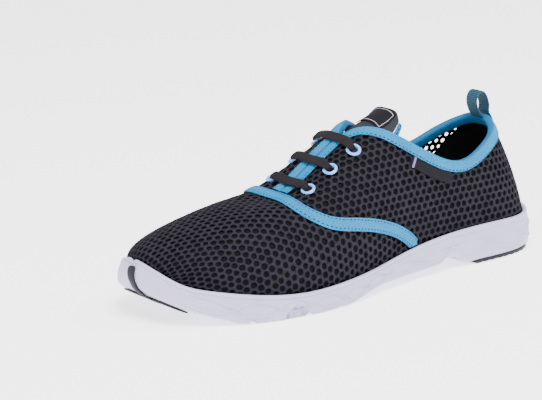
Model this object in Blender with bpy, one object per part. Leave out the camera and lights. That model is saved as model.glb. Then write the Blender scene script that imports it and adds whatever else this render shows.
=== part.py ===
"""A slip-on mesh water shoe for the left foot, built as the separate pieces that a maker puts together.

The shoe is modelled from the heel (x = 0) to the toe (+X), with the outer side of the foot at +Y and +Z up,
and is moved at the end so that the middle of its bounding box stands on the origin.
Every curved piece is laid on one surface, the wall of the last, which wall_point() gives.
"""

import math

import bmesh
import bpy
import numpy as np
from mathutils import Matrix, Vector

# Driving dimensions, in metres
SOLE_LENGTH = 0.285
BALL_WIDTH = 0.0915
PRESS_WIDTH = 0.25
INSTEP_HEIGHT = 0.1000
SEAT_HEIGHT = 0.0140
HEEL_AXIS = 0.0400
HEEL_OVERHANG = 0.0024
TOE_OVERHANG = 0.0055

# Walls and clearances
GAP = 0.0003
UPPER_WALL = 0.0018
INSOLE_THICKNESS = 0.0035
TONGUE_THICKNESS = 0.0022
BINDING_THICKNESS = 0.0009
TAPE_THICKNESS = 0.0008
RIM_THICKNESS = 0.0024
RIM_STEP = 0.0005
SOLE_FLARE = 0.0050
SOLE_BEVEL = 0.0014
TREAD_THICKNESS = 0.0012
FINGER_WIDTH = 0.0055
GROOVE_DEPTH = 0.0020
GROOVE_WIDTH = 0.0030

# Trim
COLLAR_BINDING_WIDTH = 0.0060
THROAT_BINDING_WIDTH = 0.0056
INNER_BINDING_WIDTH = 0.0052
VAMP_TAPE_WIDTH = 0.0080
TONGUE_HALF_WIDTH = 0.0190
TONGUE_SHARE = 0.54
TONGUE_OPENING = 0.085
TONGUE_EDGE_WIDTH = 0.0028
THROAT_END = 0.0012
EYELET_RADIUS = 0.0044
EYELET_HOLE_RADIUS = 0.0026
EYELET_BAND = 0.0010
EYELET_SEAT = 0.0006
LACE_WIDTH = 0.0064
LACE_HEIGHT = 0.0018
LOOP_WIDTH = 0.0095
LOOP_HEIGHT = 0.0172
LOOP_DEPTH = 0.0092
LOOP_THICKNESS = 0.0012
LABEL_LENGTH = 0.0260
LABEL_DROP = 0.0066
LABEL_THICKNESS = 0.0005

# The seat's share of the instep height where the sections below were drawn
SEAT_SHARE = 0.14

# Places along the last, as shares of its length from the heel
THROAT_BASE = 0.660
EYELET_ROWS = (0.502, 0.565, 0.624)
EYELET_OFFSET = 0.0172
LABEL_MIDDLE = 0.317
TONGUE_TOP = 0.358
TONGUE_FOOT = 0.690
TONGUE_FREE = 0.392
TOE_PAD = 0.948
GROOVES = (0.640, 0.720, 0.800, 0.850, 0.893)

# Sections of the last from heel to toe. Centre, crest and half_width are shares of BALL_WIDTH, seat of
# SEAT_HEIGHT and ridge of INSTEP_HEIGHT. Outer and inner are the exponents of the superellipses of the two sides.
SECTION_COLUMNS = ("along", "centre", "crest", "half_width", "seat", "ridge", "press", "outer", "inner")
SECTIONS = (
    (0.000, 0.000, 0.000, 0.000, 1.10, 1.010, 0.000, 1.36, 1.36),
    (0.030, 0.000, 0.000, 0.252, 1.08, 1.010, 0.000, 1.40, 1.40),
    (0.080, 0.000, 0.000, 0.346, 1.05, 1.015, 0.000, 1.56, 1.56),
    (0.150, 0.000, 0.000, 0.366, 1.00, 1.030, 0.000, 1.88, 1.88),
    (0.280, 0.012, 0.000, 0.352, 0.95, 1.060, 0.000, 2.20, 2.25),
    (0.400, 0.036, 0.000, 0.352, 0.90, 0.992, 0.006, 2.20, 2.45),
    (0.490, 0.046, -0.004, 0.385, 0.82, 0.894, 0.028, 2.15, 2.60),
    (0.570, 0.044, -0.008, 0.432, 0.74, 0.760, 0.032, 2.20, 2.75),
    (0.650, 0.030, -0.012, 0.476, 0.68, 0.628, 0.032, 2.25, 2.95),
    (0.740, 0.000, -0.026, 0.500, 0.66, 0.575, 0.010, 2.35, 2.85),
    (0.840, -0.048, -0.060, 0.462, 0.88, 0.522, 0.000, 2.35, 2.70),
    (0.920, -0.087, -0.092, 0.374, 1.22, 0.464, 0.000, 2.35, 2.65),
    (0.970, -0.113, -0.115, 0.256, 1.66, 0.412, 0.000, 2.35, 2.55),
    (1.000, -0.125, -0.125, 0.000, 2.36, 0.3304, 0.000, 2.35, 2.35),
)

# The edge of the upper round the collar, as shares of INSTEP_HEIGHT
TOPLINE_COLUMNS = ("along", "height")
TOPLINE = (
    (0.000, 0.815),
    (0.030, 0.809),
    (0.080, 0.776),
    (0.150, 0.712),
    (0.200, 0.655),
    (0.240, 0.641),
    (0.280, 0.668),
    (0.320, 0.724),
    (0.360, 0.792),
    (0.400, 0.864),
    (0.430, 0.908),
    (0.460, 0.922),
    (0.480, 0.906),
    (0.500, 0.885),
)

# The top edge of the sole's rim, as shares of SEAT_HEIGHT, and how far the wall below it flares
RIM_COLUMNS = ("along", "outer", "inner", "flare")
RIM = (
    (0.000, 1.72, 1.72, 0.46),
    (0.060, 1.66, 1.66, 0.56),
    (0.150, 1.69, 1.72, 0.66),
    (0.280, 1.64, 1.76, 0.66),
    (0.360, 1.51, 1.74, 0.70),
    (0.440, 1.31, 1.58, 0.80),
    (0.520, 1.09, 1.36, 0.92),
    (0.600, 0.97, 1.12, 1.00),
    (0.650, 0.93, 1.02, 1.00),
    (0.720, 0.93, 0.98, 1.00),
    (0.800, 1.06, 1.08, 1.00),
    (0.900, 1.40, 1.42, 1.00),
    (0.955, 1.72, 1.74, 1.00),
    (0.985, 2.20, 2.20, 1.00),
    (1.000, 2.60, 2.60, 1.00),
)

# The underside of the sole, measured along its own length, as shares of SEAT_HEIGHT
UNDERSIDE_COLUMNS = ("along", "outer", "inner")
UNDERSIDE = (
    (0.000, 0.22, 0.22),
    (0.030, 0.16, 0.16),
    (0.235, 0.16, 0.16),
    (0.255, 0.24, 0.24),
    (0.275, 0.58, 0.66),
    (0.300, 0.58, 0.72),
    (0.325, 0.36, 0.62),
    (0.420, 0.33, 0.60),
    (0.500, 0.34, 0.52),
    (0.560, 0.16, 0.22),
    (0.610, 0.00, 0.00),
    (0.800, 0.00, 0.00),
    (0.850, 0.06, 0.06),
    (0.890, 0.33, 0.33),
    (0.925, 0.58, 0.58),
    (0.950, 0.80, 0.80),
    (0.972, 1.08, 1.08),
    (0.987, 1.36, 1.36),
    (1.000, 1.78, 1.78),
)

# The middle of the tape over the vamp, from the ridge down each side to the sole
TAPE_COLUMNS = ("along", "up")
TAPE = (
    (0.668, 1.000),
    (0.672, 0.830),
    (0.670, 0.672),
    (0.643, 0.506),
    (0.588, 0.361),
    (0.496, 0.228),
    (0.441, 0.154),
    (0.404, 0.090),
    (0.388, 0.040),
)

# Places along the last where the collar turns down into the throat, and where the arch leaves the floor
CORNER = (0.350, 0.376, 0.400, 0.418, 0.434, 0.448, 0.461, 0.474, 0.488, 0.502, 0.520)
ARCH = (0.240, 0.258, 0.278, 0.303, 0.330)

# The rows of the sole: down its side (1 is the bottom edge) and over its underside to the middle (2)
SIDE_ROWS = (0.40, 0.70, 1.00, 1.001, 1.50, 2.00)

# The pull loop from its inner to its outer leg, as shares of its depth and height
LOOP_LINE = (
    (0.56, 0.18),
    (0.66, 0.42),
    (0.67, 0.66),
    (0.52, 0.87),
    (0.22, 0.985),
    (-0.08, 0.94),
    (-0.28, 0.76),
    (-0.35, 0.54),
    (-0.32, 0.32),
    (-0.25, 0.12),
)

SIDE_STATIONS = 30
COLOURS = {
    "mesh": (0.012, 0.012, 0.018),
    "foam": (0.72, 0.71, 0.78),
    "rubber": (0.02, 0.02, 0.024),
    "binding": (0.07, 0.40, 0.66),
    "webbing": (0.02, 0.20, 0.33),
    "eyelet": (0.28, 0.55, 0.85),
    "lace": (0.012, 0.010, 0.014),
    "label": (0.016, 0.016, 0.022),
    "insole": (0.012, 0.012, 0.016),
}


def column(rows, columns, name):
    return np.array([row[columns.index(name)] for row in rows], float)


def smooth_curve(knots, values, level_start=False):
    """The cubic spline through the knots, with no bend at its ends, or level at its start."""
    knots, values = np.asarray(knots, float), np.asarray(values, float)
    count, step = len(knots), np.diff(knots)
    slope = np.diff(values) / step
    system, right = np.eye(count), np.zeros(count)
    for i in range(1, count - 1):
        system[i, i - 1 : i + 2] = step[i - 1], 2 * (step[i - 1] + step[i]), step[i]
        right[i] = 6 * (slope[i] - slope[i - 1])
    if level_start:
        system[0, :2] = 2 * step[0], step[0]
        right[0] = 6 * slope[0]
    bend = np.linalg.solve(system, right)

    def at(place):
        place = np.asarray(place, float)
        i = np.clip(np.searchsorted(knots, place) - 1, 0, count - 2)
        h, before, after = step[i], place - knots[i], knots[i + 1] - place
        cubic = (bend[i] * after**3 + bend[i + 1] * before**3) / (6 * h)
        line = (values[i] / h - bend[i] * h / 6) * after
        return cubic + line + (values[i + 1] / h - bend[i + 1] * h / 6) * before

    return at


def level_curve(knots, values):
    """A curve through the knots that never passes them, so that equal neighbours give a level stretch."""
    knots, values = np.asarray(knots, float), np.asarray(values, float)
    step = np.diff(knots)
    slope = np.diff(values) / step
    tangent = np.zeros(len(knots))
    rising = slope[:-1] * slope[1:] > 0
    mean = 2 * slope[:-1] * slope[1:] / np.where(rising, slope[:-1] + slope[1:], 1)
    tangent[1:-1] = np.where(rising, mean, 0)
    tangent[0], tangent[-1] = slope[0], slope[-1]

    def at(place):
        place = np.clip(np.asarray(place, float), knots[0], knots[-1])
        i = np.clip(np.searchsorted(knots, place) - 1, 0, len(step) - 1)
        s = (place - knots[i]) / step[i]
        start = values[i] * (1 + 2 * s) * (1 - s) ** 2 + tangent[i] * step[i] * s * (1 - s) ** 2
        end = values[i + 1] * s**2 * (3 - 2 * s) + tangent[i + 1] * step[i] * s**2 * (s - 1)
        return start + end

    return at


def station_of(along):
    """The station, 0 at the heel and 1 at the toe, that lies this share along: close together at both ends."""
    return np.arccos(1 - 2 * np.clip(np.asarray(along, float), 0, 1)) / np.pi


def along_of(station):
    return (1 - np.cos(np.pi * np.abs(station))) / 2


def station_curve(rows, columns, name, **ends):
    return smooth_curve(station_of(column(rows, columns, "along")), column(rows, columns, name), **ends)


CENTRE = station_curve(SECTIONS, SECTION_COLUMNS, "centre", level_start=True)
CREST = station_curve(SECTIONS, SECTION_COLUMNS, "crest", level_start=True)
HALF_WIDTH = station_curve(SECTIONS, SECTION_COLUMNS, "half_width")
SEAT = station_curve(SECTIONS, SECTION_COLUMNS, "seat", level_start=True)
PRESS = station_curve(SECTIONS, SECTION_COLUMNS, "press", level_start=True)
RIDGE = station_curve(SECTIONS, SECTION_COLUMNS, "ridge", level_start=True)
FULL_OUTER = station_curve(SECTIONS, SECTION_COLUMNS, "outer", level_start=True)
FULL_INNER = station_curve(SECTIONS, SECTION_COLUMNS, "inner", level_start=True)
EDGE = station_curve(TOPLINE, TOPLINE_COLUMNS, "height", level_start=True)
RIM_OUTER = station_curve(RIM, RIM_COLUMNS, "outer", level_start=True)
RIM_INNER = station_curve(RIM, RIM_COLUMNS, "inner", level_start=True)
FLARE = station_curve(RIM, RIM_COLUMNS, "flare", level_start=True)
UNDER_ALONG = column(UNDERSIDE, UNDERSIDE_COLUMNS, "along")
UNDER_OUTER = level_curve(UNDER_ALONG, column(UNDERSIDE, UNDERSIDE_COLUMNS, "outer"))
UNDER_INNER = level_curve(UNDER_ALONG, column(UNDERSIDE, UNDERSIDE_COLUMNS, "inner"))
LAST_LENGTH = SOLE_LENGTH - HEEL_OVERHANG - TOE_OVERHANG


def pack(x, y, z):
    return np.stack(np.broadcast_arrays(x, y, z), -1)


def fold(station, up):
    """Carries a place that has gone over the ridge, or round the toe, to the same place on the other side."""
    over = up > 1
    station, up = np.where(over, -station, station), np.where(over, 2 - up, up)
    beyond = np.abs(station) > 1
    return np.where(beyond, -np.sign(station) * (2 - np.abs(station)), station), up


def foot_of_wall(station):
    """The plan outline of the last at a signed station: outer side positive, inner side negative."""
    share = np.abs(station)
    x = HEEL_OVERHANG + LAST_LENGTH * along_of(share)
    y = BALL_WIDTH * (CENTRE(share) + np.sign(station) * HALF_WIDTH(share))
    return x, y


def head_of_wall(station):
    """Where the section of a station meets the ridge: sections fan out round the heel and lie square further on."""
    share = np.abs(station)
    x, soft = HEEL_OVERHANG + LAST_LENGTH * along_of(share), 0.006
    x = (x + HEEL_AXIS + np.sqrt((x - HEEL_AXIS) ** 2 + soft**2)) / 2
    x = np.minimum(x, HEEL_OVERHANG + LAST_LENGTH * along_of(share) + HEEL_AXIS)
    return x, BALL_WIDTH * CREST(share)


def seat_height(station):
    return SEAT_HEIGHT * SEAT(np.abs(station))


def ridge_height(station):
    """The ridge stands over the seat, and meets it at the tip of the toe, however high the instep is."""
    share = np.abs(station)
    return seat_height(station) + INSTEP_HEIGHT * (RIDGE(share) - SEAT_SHARE * SEAT(share))


def fullness(station):
    """The exponent of a section: 2 is an ellipse and more is squarer. It can differ between the two sides."""
    share = np.abs(station)
    return np.where(station >= 0, FULL_OUTER(share), FULL_INNER(share))


def wall_point(station, up):
    """A point of the upper's outer face, from the seat (up = 0) to the ridge (up = 1), on a superellipse."""
    station, up = fold(*np.broadcast_arrays(np.asarray(station, float), np.asarray(up, float)))
    power, angle = fullness(station), up * np.pi / 2
    across, rise = np.maximum(np.cos(angle), 0), np.maximum(np.sin(angle), 0)
    size = (across**power + rise**power) ** (1 / power)
    (fx, fy), (hx, hy) = foot_of_wall(station), head_of_wall(station)
    seat, ridge = seat_height(station), ridge_height(station)
    reach = across / size
    near = 1 - ((fy - hy) * reach / (PRESS_WIDTH * BALL_WIDTH)) ** 2
    press = INSTEP_HEIGHT * PRESS(np.abs(station)) * np.maximum(near, 0) ** 2
    height = seat + (ridge - seat) * rise / size - press
    return pack(hx + (fx - hx) * reach, hy + (fy - hy) * reach, height)


def up_at_height(station, height):
    """How far up its section the wall reaches a height."""
    power = fullness(station)
    seat, ridge = seat_height(station), ridge_height(station)
    rise = np.clip((height - seat) / np.maximum(ridge - seat, 1e-6), 0, 1)
    return np.arctan2(rise, (1 - rise**power) ** (1 / power)) * 2 / np.pi


def up_near_ridge(station, distance):
    """How far up the wall lies at a distance to the side of the ridge."""
    power = fullness(station)
    (_, fy), (_, hy) = foot_of_wall(station), head_of_wall(station)
    across = np.clip(distance / np.maximum(np.abs(fy - hy), 1e-3), 0, 1)
    return np.arctan2((1 - across**power) ** (1 / power), across) * 2 / np.pi


def slopes(station, up, small=1e-4):
    """The two tangents of the wall, along the stations and up the section."""
    along = (wall_point(station + small, up) - wall_point(station - small, up)) / (2 * small)
    low, high = np.maximum(up - small, 0), up + small
    rise = (wall_point(station, high) - wall_point(station, low)) / (high - low)[..., None]
    return along, rise


def unit(vectors):
    return vectors / np.maximum(np.linalg.norm(vectors, axis=-1, keepdims=True), 1e-12)


def wall_normal(station, up):
    """The outward normal of the wall. At the very tip of the toe, where all sections meet, it points forward."""
    station, up = np.broadcast_arrays(np.asarray(station, float), np.asarray(up, float))
    along, rise = slopes(station, up)
    normal = unit(np.cross(rise, along))
    (fx, fy), (hx, hy) = foot_of_wall(station), head_of_wall(station)
    outward = pack((fx - hx) * np.cos(up * np.pi / 2), (fy - hy) * np.cos(up * np.pi / 2), 0.03 * up)
    normal = np.where((np.sum(normal * outward, -1) < 0)[..., None], -normal, normal)
    tip = (1 - np.abs(station)) < 1e-6
    return np.where(tip[..., None], np.array([1.0, 0, 0]), normal)


def wall_offset(station, up, distance):
    return wall_point(station, up) + wall_normal(station, up) * np.asarray(distance)[..., None]


def walk(station, up, heading, distance, steps=5):
    """Moves places on the wall by a distance along a heading that is kept in the surface."""
    station, up = np.array(station, float), np.array(up, float)
    for _ in range(steps):
        along, rise = slopes(station, up)
        aa, ar, rr = (np.sum(p * q, -1) for p, q in ((along, along), (along, rise), (rise, rise)))
        ah, rh = np.sum(along * heading, -1), np.sum(rise * heading, -1)
        area = np.maximum(aa * rr - ar * ar, 1e-18)
        go = np.stack([(rr * ah - ar * rh) / area, (aa * rh - ar * ah) / area], -1)
        moved = along * go[..., :1] + rise * go[..., 1:]
        go = go / np.maximum(np.linalg.norm(moved, axis=-1, keepdims=True), 1e-12)
        station = station + go[..., 0] * distance / steps
        up = up + go[..., 1] * distance / steps
    return station, up


def topline_up(station):
    """The upper's edge: the collar, the two edges of the throat, and the ridge in front of it."""
    along = along_of(station)
    front = np.clip((THROAT_BASE - along) * LAST_LENGTH / THROAT_END, 0, 1)
    slit = up_near_ridge(station, front * (BINDING_THICKNESS + 1.5 * GAP))
    collar = up_at_height(station, INSTEP_HEIGHT * EDGE(np.minimum(np.abs(station), station_of(TOPLINE[-1][0]))))
    sharp = 30.0
    soft = -np.log(np.exp(-sharp * collar) + np.exp(-sharp * slit)) / sharp
    blend = np.clip((along - 0.25) / 0.15, 0, 1)
    edge = np.where(along < TOPLINE[-1][0], collar * (1 - blend) + np.minimum(soft, slit) * blend, slit)
    return np.where(along >= THROAT_BASE, 1.0, edge)


def stations_for(*marks, count=SIDE_STATIONS, apart=0.011):
    """Stations from heel to toe, with one at each marked share of the length and none too close to a mark."""
    marks = sorted(float(station_of(mark)) for mark in marks)
    even = [u for u in np.linspace(0, 1, count) if all(abs(u - m) > apart for m in marks) or u in (0, 1)]
    return np.array(sorted(even + marks))


def plan_normal(station):
    """The outward normal of the last's outline, seen from above."""
    small = 1e-4
    (ax, ay), (bx, by) = foot_of_wall(station - small), foot_of_wall(station + small)
    share = np.abs(station)
    at_end = (share < small) | (share > 1 - small)
    nx, ny = ay - by, bx - ax
    length = np.maximum(np.hypot(nx, ny), 1e-12)
    side = np.sign(station) * np.sign(np.where(ny == 0, 1, ny))
    nx, ny = nx / length * side, ny / length * side
    ends = np.where(share < 0.5, -1.0, 1.0)
    return np.where(at_end, ends, nx), np.where(at_end, 0.0, ny)


def centre_at(x):
    """The middle of the last's outline at a length."""
    return BALL_WIDTH * CENTRE(station_of((x - HEEL_OVERHANG) / LAST_LENGTH))


def floor_height(x):
    """The height of the sole's floor, under the foot of the upper, at a length."""
    return SEAT_HEIGHT * SEAT(station_of((x - HEEL_OVERHANG) / LAST_LENGTH)) - GAP


def spine(station):
    """The line along the middle of the sole that the rows of its floor and underside run to."""
    x = np.clip(foot_of_wall(station)[0], HEEL_AXIS * 0.6, SOLE_LENGTH * 0.945)
    return x, centre_at(x)


def underside_height(x, y):
    """The height of the sole's underside, blended from its inner to its outer profile."""
    along = np.clip(x / SOLE_LENGTH, 0, 1)
    blend = np.clip(0.5 + y / (0.8 * BALL_WIDTH), 0, 1)
    return SEAT_HEIGHT * (UNDER_INNER(along) * (1 - blend) + UNDER_OUTER(along) * blend)


def groove_depth(station):
    """How deep the underside is cut at a station: a flat-bottomed groove stands at each place in GROOVES."""
    x = LAST_LENGTH * along_of(station)
    near = np.min([np.abs(x - LAST_LENGTH * groove) for groove in GROOVES], axis=0)
    return GROOVE_DEPTH * (near < GROOVE_WIDTH * 0.5)


def groove_marks():
    """The shares of the length where a groove's floor and lips need a row of the sole."""
    reach = GROOVE_WIDTH / LAST_LENGTH
    return [groove + reach * side for groove in GROOVES for side in (-0.80, -0.36, 0.36, 0.80)]


def rim_up(station):
    rim = np.where(station >= 0, RIM_OUTER(np.abs(station)), RIM_INNER(np.abs(station)))
    return np.minimum(up_at_height(station, SEAT_HEIGHT * rim), 0.72)


def sole_edge(station, grooved=False):
    """The lower edge of the sole's side wall, just above the bevel."""
    (fx, fy), (nx, ny) = foot_of_wall(station), plan_normal(station)
    flare = SOLE_FLARE * FLARE(np.abs(station))
    x, y = fx + nx * flare, fy + ny * flare
    cut = groove_depth(station) * 0.7 if grooved else 0
    return pack(x, y, underside_height(x, y) + SOLE_BEVEL + cut)


def sole_skin(station, down, grooved=False):
    """The sole's outer face: its side from the rim (0) to the bottom edge (1), then its underside to the spine (2)."""
    station, down = np.broadcast_arrays(np.asarray(station, float), np.asarray(down, float))
    beyond = np.abs(station) > 1
    station = np.where(beyond, -np.sign(station) * (2 - np.abs(station)), station)
    lip = GAP + RIM_THICKNESS
    top = wall_offset(station, rim_up(station), np.full(station.shape, lip))
    tip = (np.abs(station) > 1 - 1e-6)[..., None]
    top = np.where(tip, wall_point(station, 0) + lip * np.array([0.8, 0, 0.6]), top)
    (fx, fy), (nx, ny) = foot_of_wall(station), plan_normal(station)
    edge = sole_edge(station, grooved)
    bulge = SOLE_FLARE * FLARE(np.abs(station)) * 1.15
    belly = pack(fx + nx * bulge, fy + ny * bulge, edge[..., 2] * 0.6 + top[..., 2] * 0.4)
    s = np.clip(down, 0, 1)[..., None]
    side = top * (1 - s) ** 2 + belly * 2 * s * (1 - s) + edge * s**2
    inset = SOLE_BEVEL * 1.3
    inner_x, inner_y = edge[..., 0] - nx * inset, edge[..., 1] - ny * inset
    s, (middle_x, middle_y) = np.clip(down - 1, 0, 1), spine(station)
    x, y = inner_x + (middle_x - inner_x) * s, inner_y + (middle_y - inner_y) * s
    under = pack(x, y, underside_height(x, y) + (groove_depth(station) if grooved else 0))
    return np.where((down > 1)[..., None], under, side)


def material(name, roughness=0.8, metallic=0.0):
    found = bpy.data.materials.get(name)
    if found:
        return found
    made = bpy.data.materials.new(name)
    made.use_nodes = True
    shader = made.node_tree.nodes["Principled BSDF"]
    shader.inputs["Base Color"].default_value = (*COLOURS[name], 1)
    shader.inputs["Roughness"].default_value = roughness
    shader.inputs["Metallic"].default_value = metallic
    return made


def add_object(name, mesh, finish):
    made = bpy.data.objects.new(name, mesh)
    bpy.context.scene.collection.objects.link(made)
    mesh.materials.append(finish)
    return made


def mesh_from_grids(name, grids, finish, caps=(), weld=2e-5):
    """One closed body from grids of points, each with its rows and columns joined by quads, welded where they meet."""
    shape = bmesh.new()
    for grid in grids:
        rows = [[shape.verts.new(point) for point in row] for row in grid]
        for low, high in zip(rows, rows[1:]):
            for i in range(len(low) - 1):
                shape.faces.new((low[i], low[i + 1], high[i + 1], high[i]))
    for ring in caps:
        shape.faces.new([shape.verts.new(point) for point in ring])
    bmesh.ops.remove_doubles(shape, verts=shape.verts, dist=weld)
    bmesh.ops.dissolve_degenerate(shape, edges=shape.edges, dist=weld / 2)
    bmesh.ops.recalc_face_normals(shape, faces=shape.faces)
    mesh = bpy.data.meshes.new(name)
    shape.to_mesh(mesh)
    shape.free()
    mesh.shade_smooth()
    mesh.set_sharp_from_angle(angle=math.radians(35))
    return add_object(name, mesh, finish)


def plate(name, top, bottom, finish):
    """A closed sheet between two grids of the same size."""
    edges = [np.stack([top[0], bottom[0]]), np.stack([top[-1], bottom[-1]])]
    edges += [np.stack([top[:, 0], bottom[:, 0]]), np.stack([top[:, -1], bottom[:, -1]])]
    return mesh_from_grids(name, [top, bottom, *edges], finish)


def swept(name, rings, finish, round_trip=False):
    """A closed body through rings of points, capped at both ends unless it comes back to its start."""
    rings = np.concatenate([rings, rings[:, :1]], 1)
    if round_trip:
        return mesh_from_grids(name, [np.concatenate([rings, rings[:1]])], finish)
    return mesh_from_grids(name, [rings], finish, caps=(rings[0][:-1], rings[-1][:-1]))


def cylinder_cutter(name, centre, axis, radius, reach, sides):
    """A drill along an axis through a point. It is not part of the shoe."""
    shape = bmesh.new()
    bmesh.ops.create_cone(
        shape, cap_ends=True, segments=sides, radius1=radius, radius2=radius, depth=2 * reach
    )
    turn = Vector(axis).to_track_quat("Z", "Y").to_matrix().to_4x4()
    bmesh.ops.transform(shape, matrix=Matrix.Translation(Vector(centre)) @ turn, verts=shape.verts)
    mesh = bpy.data.meshes.new(name)
    shape.to_mesh(mesh)
    shape.free()
    made = bpy.data.objects.new(name, mesh)
    bpy.context.scene.collection.objects.link(made)
    made.hide_render = True
    made.display_type = "WIRE"
    return made


def drill(body, cutter):
    cut = body.modifiers.new(cutter.name, "BOOLEAN")
    cut.operation = "DIFFERENCE"
    cut.solver = "EXACT"
    cut.object = cutter


def eyelet_place(row, side):
    station = side * float(station_of(EYELET_ROWS[row]))
    return station, float(up_near_ridge(np.array(station), EYELET_OFFSET))


def around(station, up, radius, sides):
    """Places on the wall on a circle round a place."""
    along, rise = slopes(np.array(station), np.array(up))
    first = unit(along)
    second = unit(rise - first * np.dot(rise, first))
    angle = np.arange(sides) * 2 * np.pi / sides
    heading = np.cos(angle)[:, None] * first + np.sin(angle)[:, None] * second
    return walk(np.full(sides, station), np.full(sides, up), heading, radius, steps=3)


def topline_path(shares):
    """Places on the upper's edge, from the foot of the throat on the outer side round the heel to the inner side."""
    station = np.array([float(station_of(share)) for share in shares])
    station = np.concatenate([station, -station[::-1][1:]])
    return station, topline_up(station)


def edge_headings(station, up):
    """The headings, at each place on the edge, that lie in the wall at right angles to the edge and lead away from it."""
    place = wall_point(station, up)
    tangent = unit(np.gradient(place, axis=0))
    normal = wall_normal(station, up)
    heading = np.cross(normal, tangent)
    below = wall_point(station, up * 0.97) - place
    sign = np.sign(np.sum(heading * below, -1))
    heading = heading * sign[:, None]
    for _ in range(2):
        padded = np.concatenate([heading[:1], heading, heading[-1:]])
        heading = unit(padded[:-2] + 2 * padded[1:-1] + padded[2:])
    return heading, normal


def from_edge(station, up, heading, normal, reach, offset):
    """Points at a distance down the wall from the edge, or beyond it where the reach is negative, and off its face."""
    if np.max(reach) <= 0:
        return wall_point(station, up) + heading * np.reshape(reach, (-1, 1)) + normal * offset
    reach = np.broadcast_to(np.asarray(reach, float), station.shape)
    there = walk(station, up, heading, reach)
    return wall_offset(*there, np.full(station.shape, offset))


def upper_stations():
    throat = (THROAT_BASE - THROAT_END / LAST_LENGTH, THROAT_BASE, THROAT_BASE + 0.020, THROAT_BASE + 0.042)
    return stations_for(*CORNER, *throat)


def wall_rows(station):
    """The rows of the upper at each station: three up to the sole's rim, some even ones, three beside the edge."""
    rim, top = rim_up(station), topline_up(station)
    length = np.linalg.norm(slopes(station, top)[1], axis=-1) * (top - rim)
    width = (COLLAR_BINDING_WIDTH + GAP) / np.maximum(length, 1e-6)
    beside = np.minimum(width, 0.2)
    even = [rim + (top - rim) * (1 - beside) * s for s in np.linspace(0, 1, 8)]
    return np.stack([0 * rim, rim / 2, *even, top - (top - rim) * beside / 2, top], 1)


def make_upper():
    """The hollow upper: one wall, open underneath, at the collar and down the throat, with holes for the eyelets."""
    stations = upper_stations()
    grids = []
    for side in (1, -1):
        up = wall_rows(side * stations)
        station = np.broadcast_to(side * stations[:, None], up.shape)
        outer = wall_point(station, up)
        inner = wall_offset(station, up, np.full(up.shape, -UPPER_WALL))
        grids += [outer, inner, np.stack([outer[:, 0], inner[:, 0]])]
        open_edge = along_of(stations) <= THROAT_BASE + 1e-9
        grids.append(np.stack([outer[open_edge, -1], inner[open_edge, -1]]))
    upper = mesh_from_grids("upper", grids, material("mesh"), weld=1e-4)
    for row in range(len(EYELET_ROWS)):
        for side in (1, -1):
            station, up = (np.array(value) for value in eyelet_place(row, side))
            radius = (EYELET_HOLE_RADIUS + EYELET_BAND * 0.6 + GAP) / math.cos(math.pi / 12)
            name = f"drill_{'lateral' if side > 0 else 'medial'}_{row + 1}"
            cutter = cylinder_cutter(name, wall_point(station, up), wall_normal(station, up), radius, 0.006, 12)
            drill(upper, cutter)
    tidy = upper.modifiers.new("join_close_corners", "WELD")
    tidy.merge_threshold = 8e-5
    return upper


def sole_stations():
    return stations_for(*ARCH, *groove_marks(), apart=0.012)


def make_sole():
    """The moulded foam sole: a rim round the upper's foot, a flared side, arch, toe spring and grooved underside."""
    stations = sole_stations()
    grids = []
    for side in (1, -1):
        station = side * stations
        (fx, fy), (nx, ny), (mx, my) = foot_of_wall(station), plan_normal(station), spine(station)
        rows = []
        for s in (0, 0.5, 1):
            x, y = mx + (fx - mx) * s, my + (fy - my) * s
            rows.append(pack(x, y, floor_height(x)))
        top = rim_up(station)
        rows[-1] = pack(fx + nx * GAP, fy + ny * GAP, floor_height(fx))
        rows += [wall_offset(station, top * s, np.full(top.shape, GAP)) for s in (0.5, 1.0)]
        rows += [sole_skin(station, 0.0), sole_skin(station, 0.10)]
        rows += [sole_skin(station, 0.16) - pack(nx, ny, 0) * RIM_STEP]
        rows += [sole_skin(station, down, grooved=True) for down in SIDE_ROWS]
        grids.append(np.stack(rows))
    return mesh_from_grids("sole", grids, material("foam"))


def tread_patch(name, rows, finish, places, anchor):
    """A rubber pad on the sole's skin. Its rows have a place down the skin and a width, which draws the places in."""
    inner, outer = [], []
    for down, width in rows:
        station = anchor + (places - anchor) * width
        at = np.where(np.abs(station) > 1, -np.sign(station) * (2 - np.abs(station)), station)
        nx, ny = plan_normal(at)
        skin = sole_skin(at, np.full(len(places), float(down)))
        sink = np.clip((down - 0.95) / 0.05, 0, 1) * 0.7
        under = float(down > 1)
        out = pack(nx * (1 - sink), ny * (1 - sink), -sink) * (1 - under) + pack(nx * 0.5, ny * 0.5, -0.87) * under
        inner.append(skin + out * GAP * 1.4)
        outer.append(skin + out * (GAP * 1.4 + TREAD_THICKNESS))
    return plate(name, np.array(outer), np.array(inner), finish)


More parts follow.
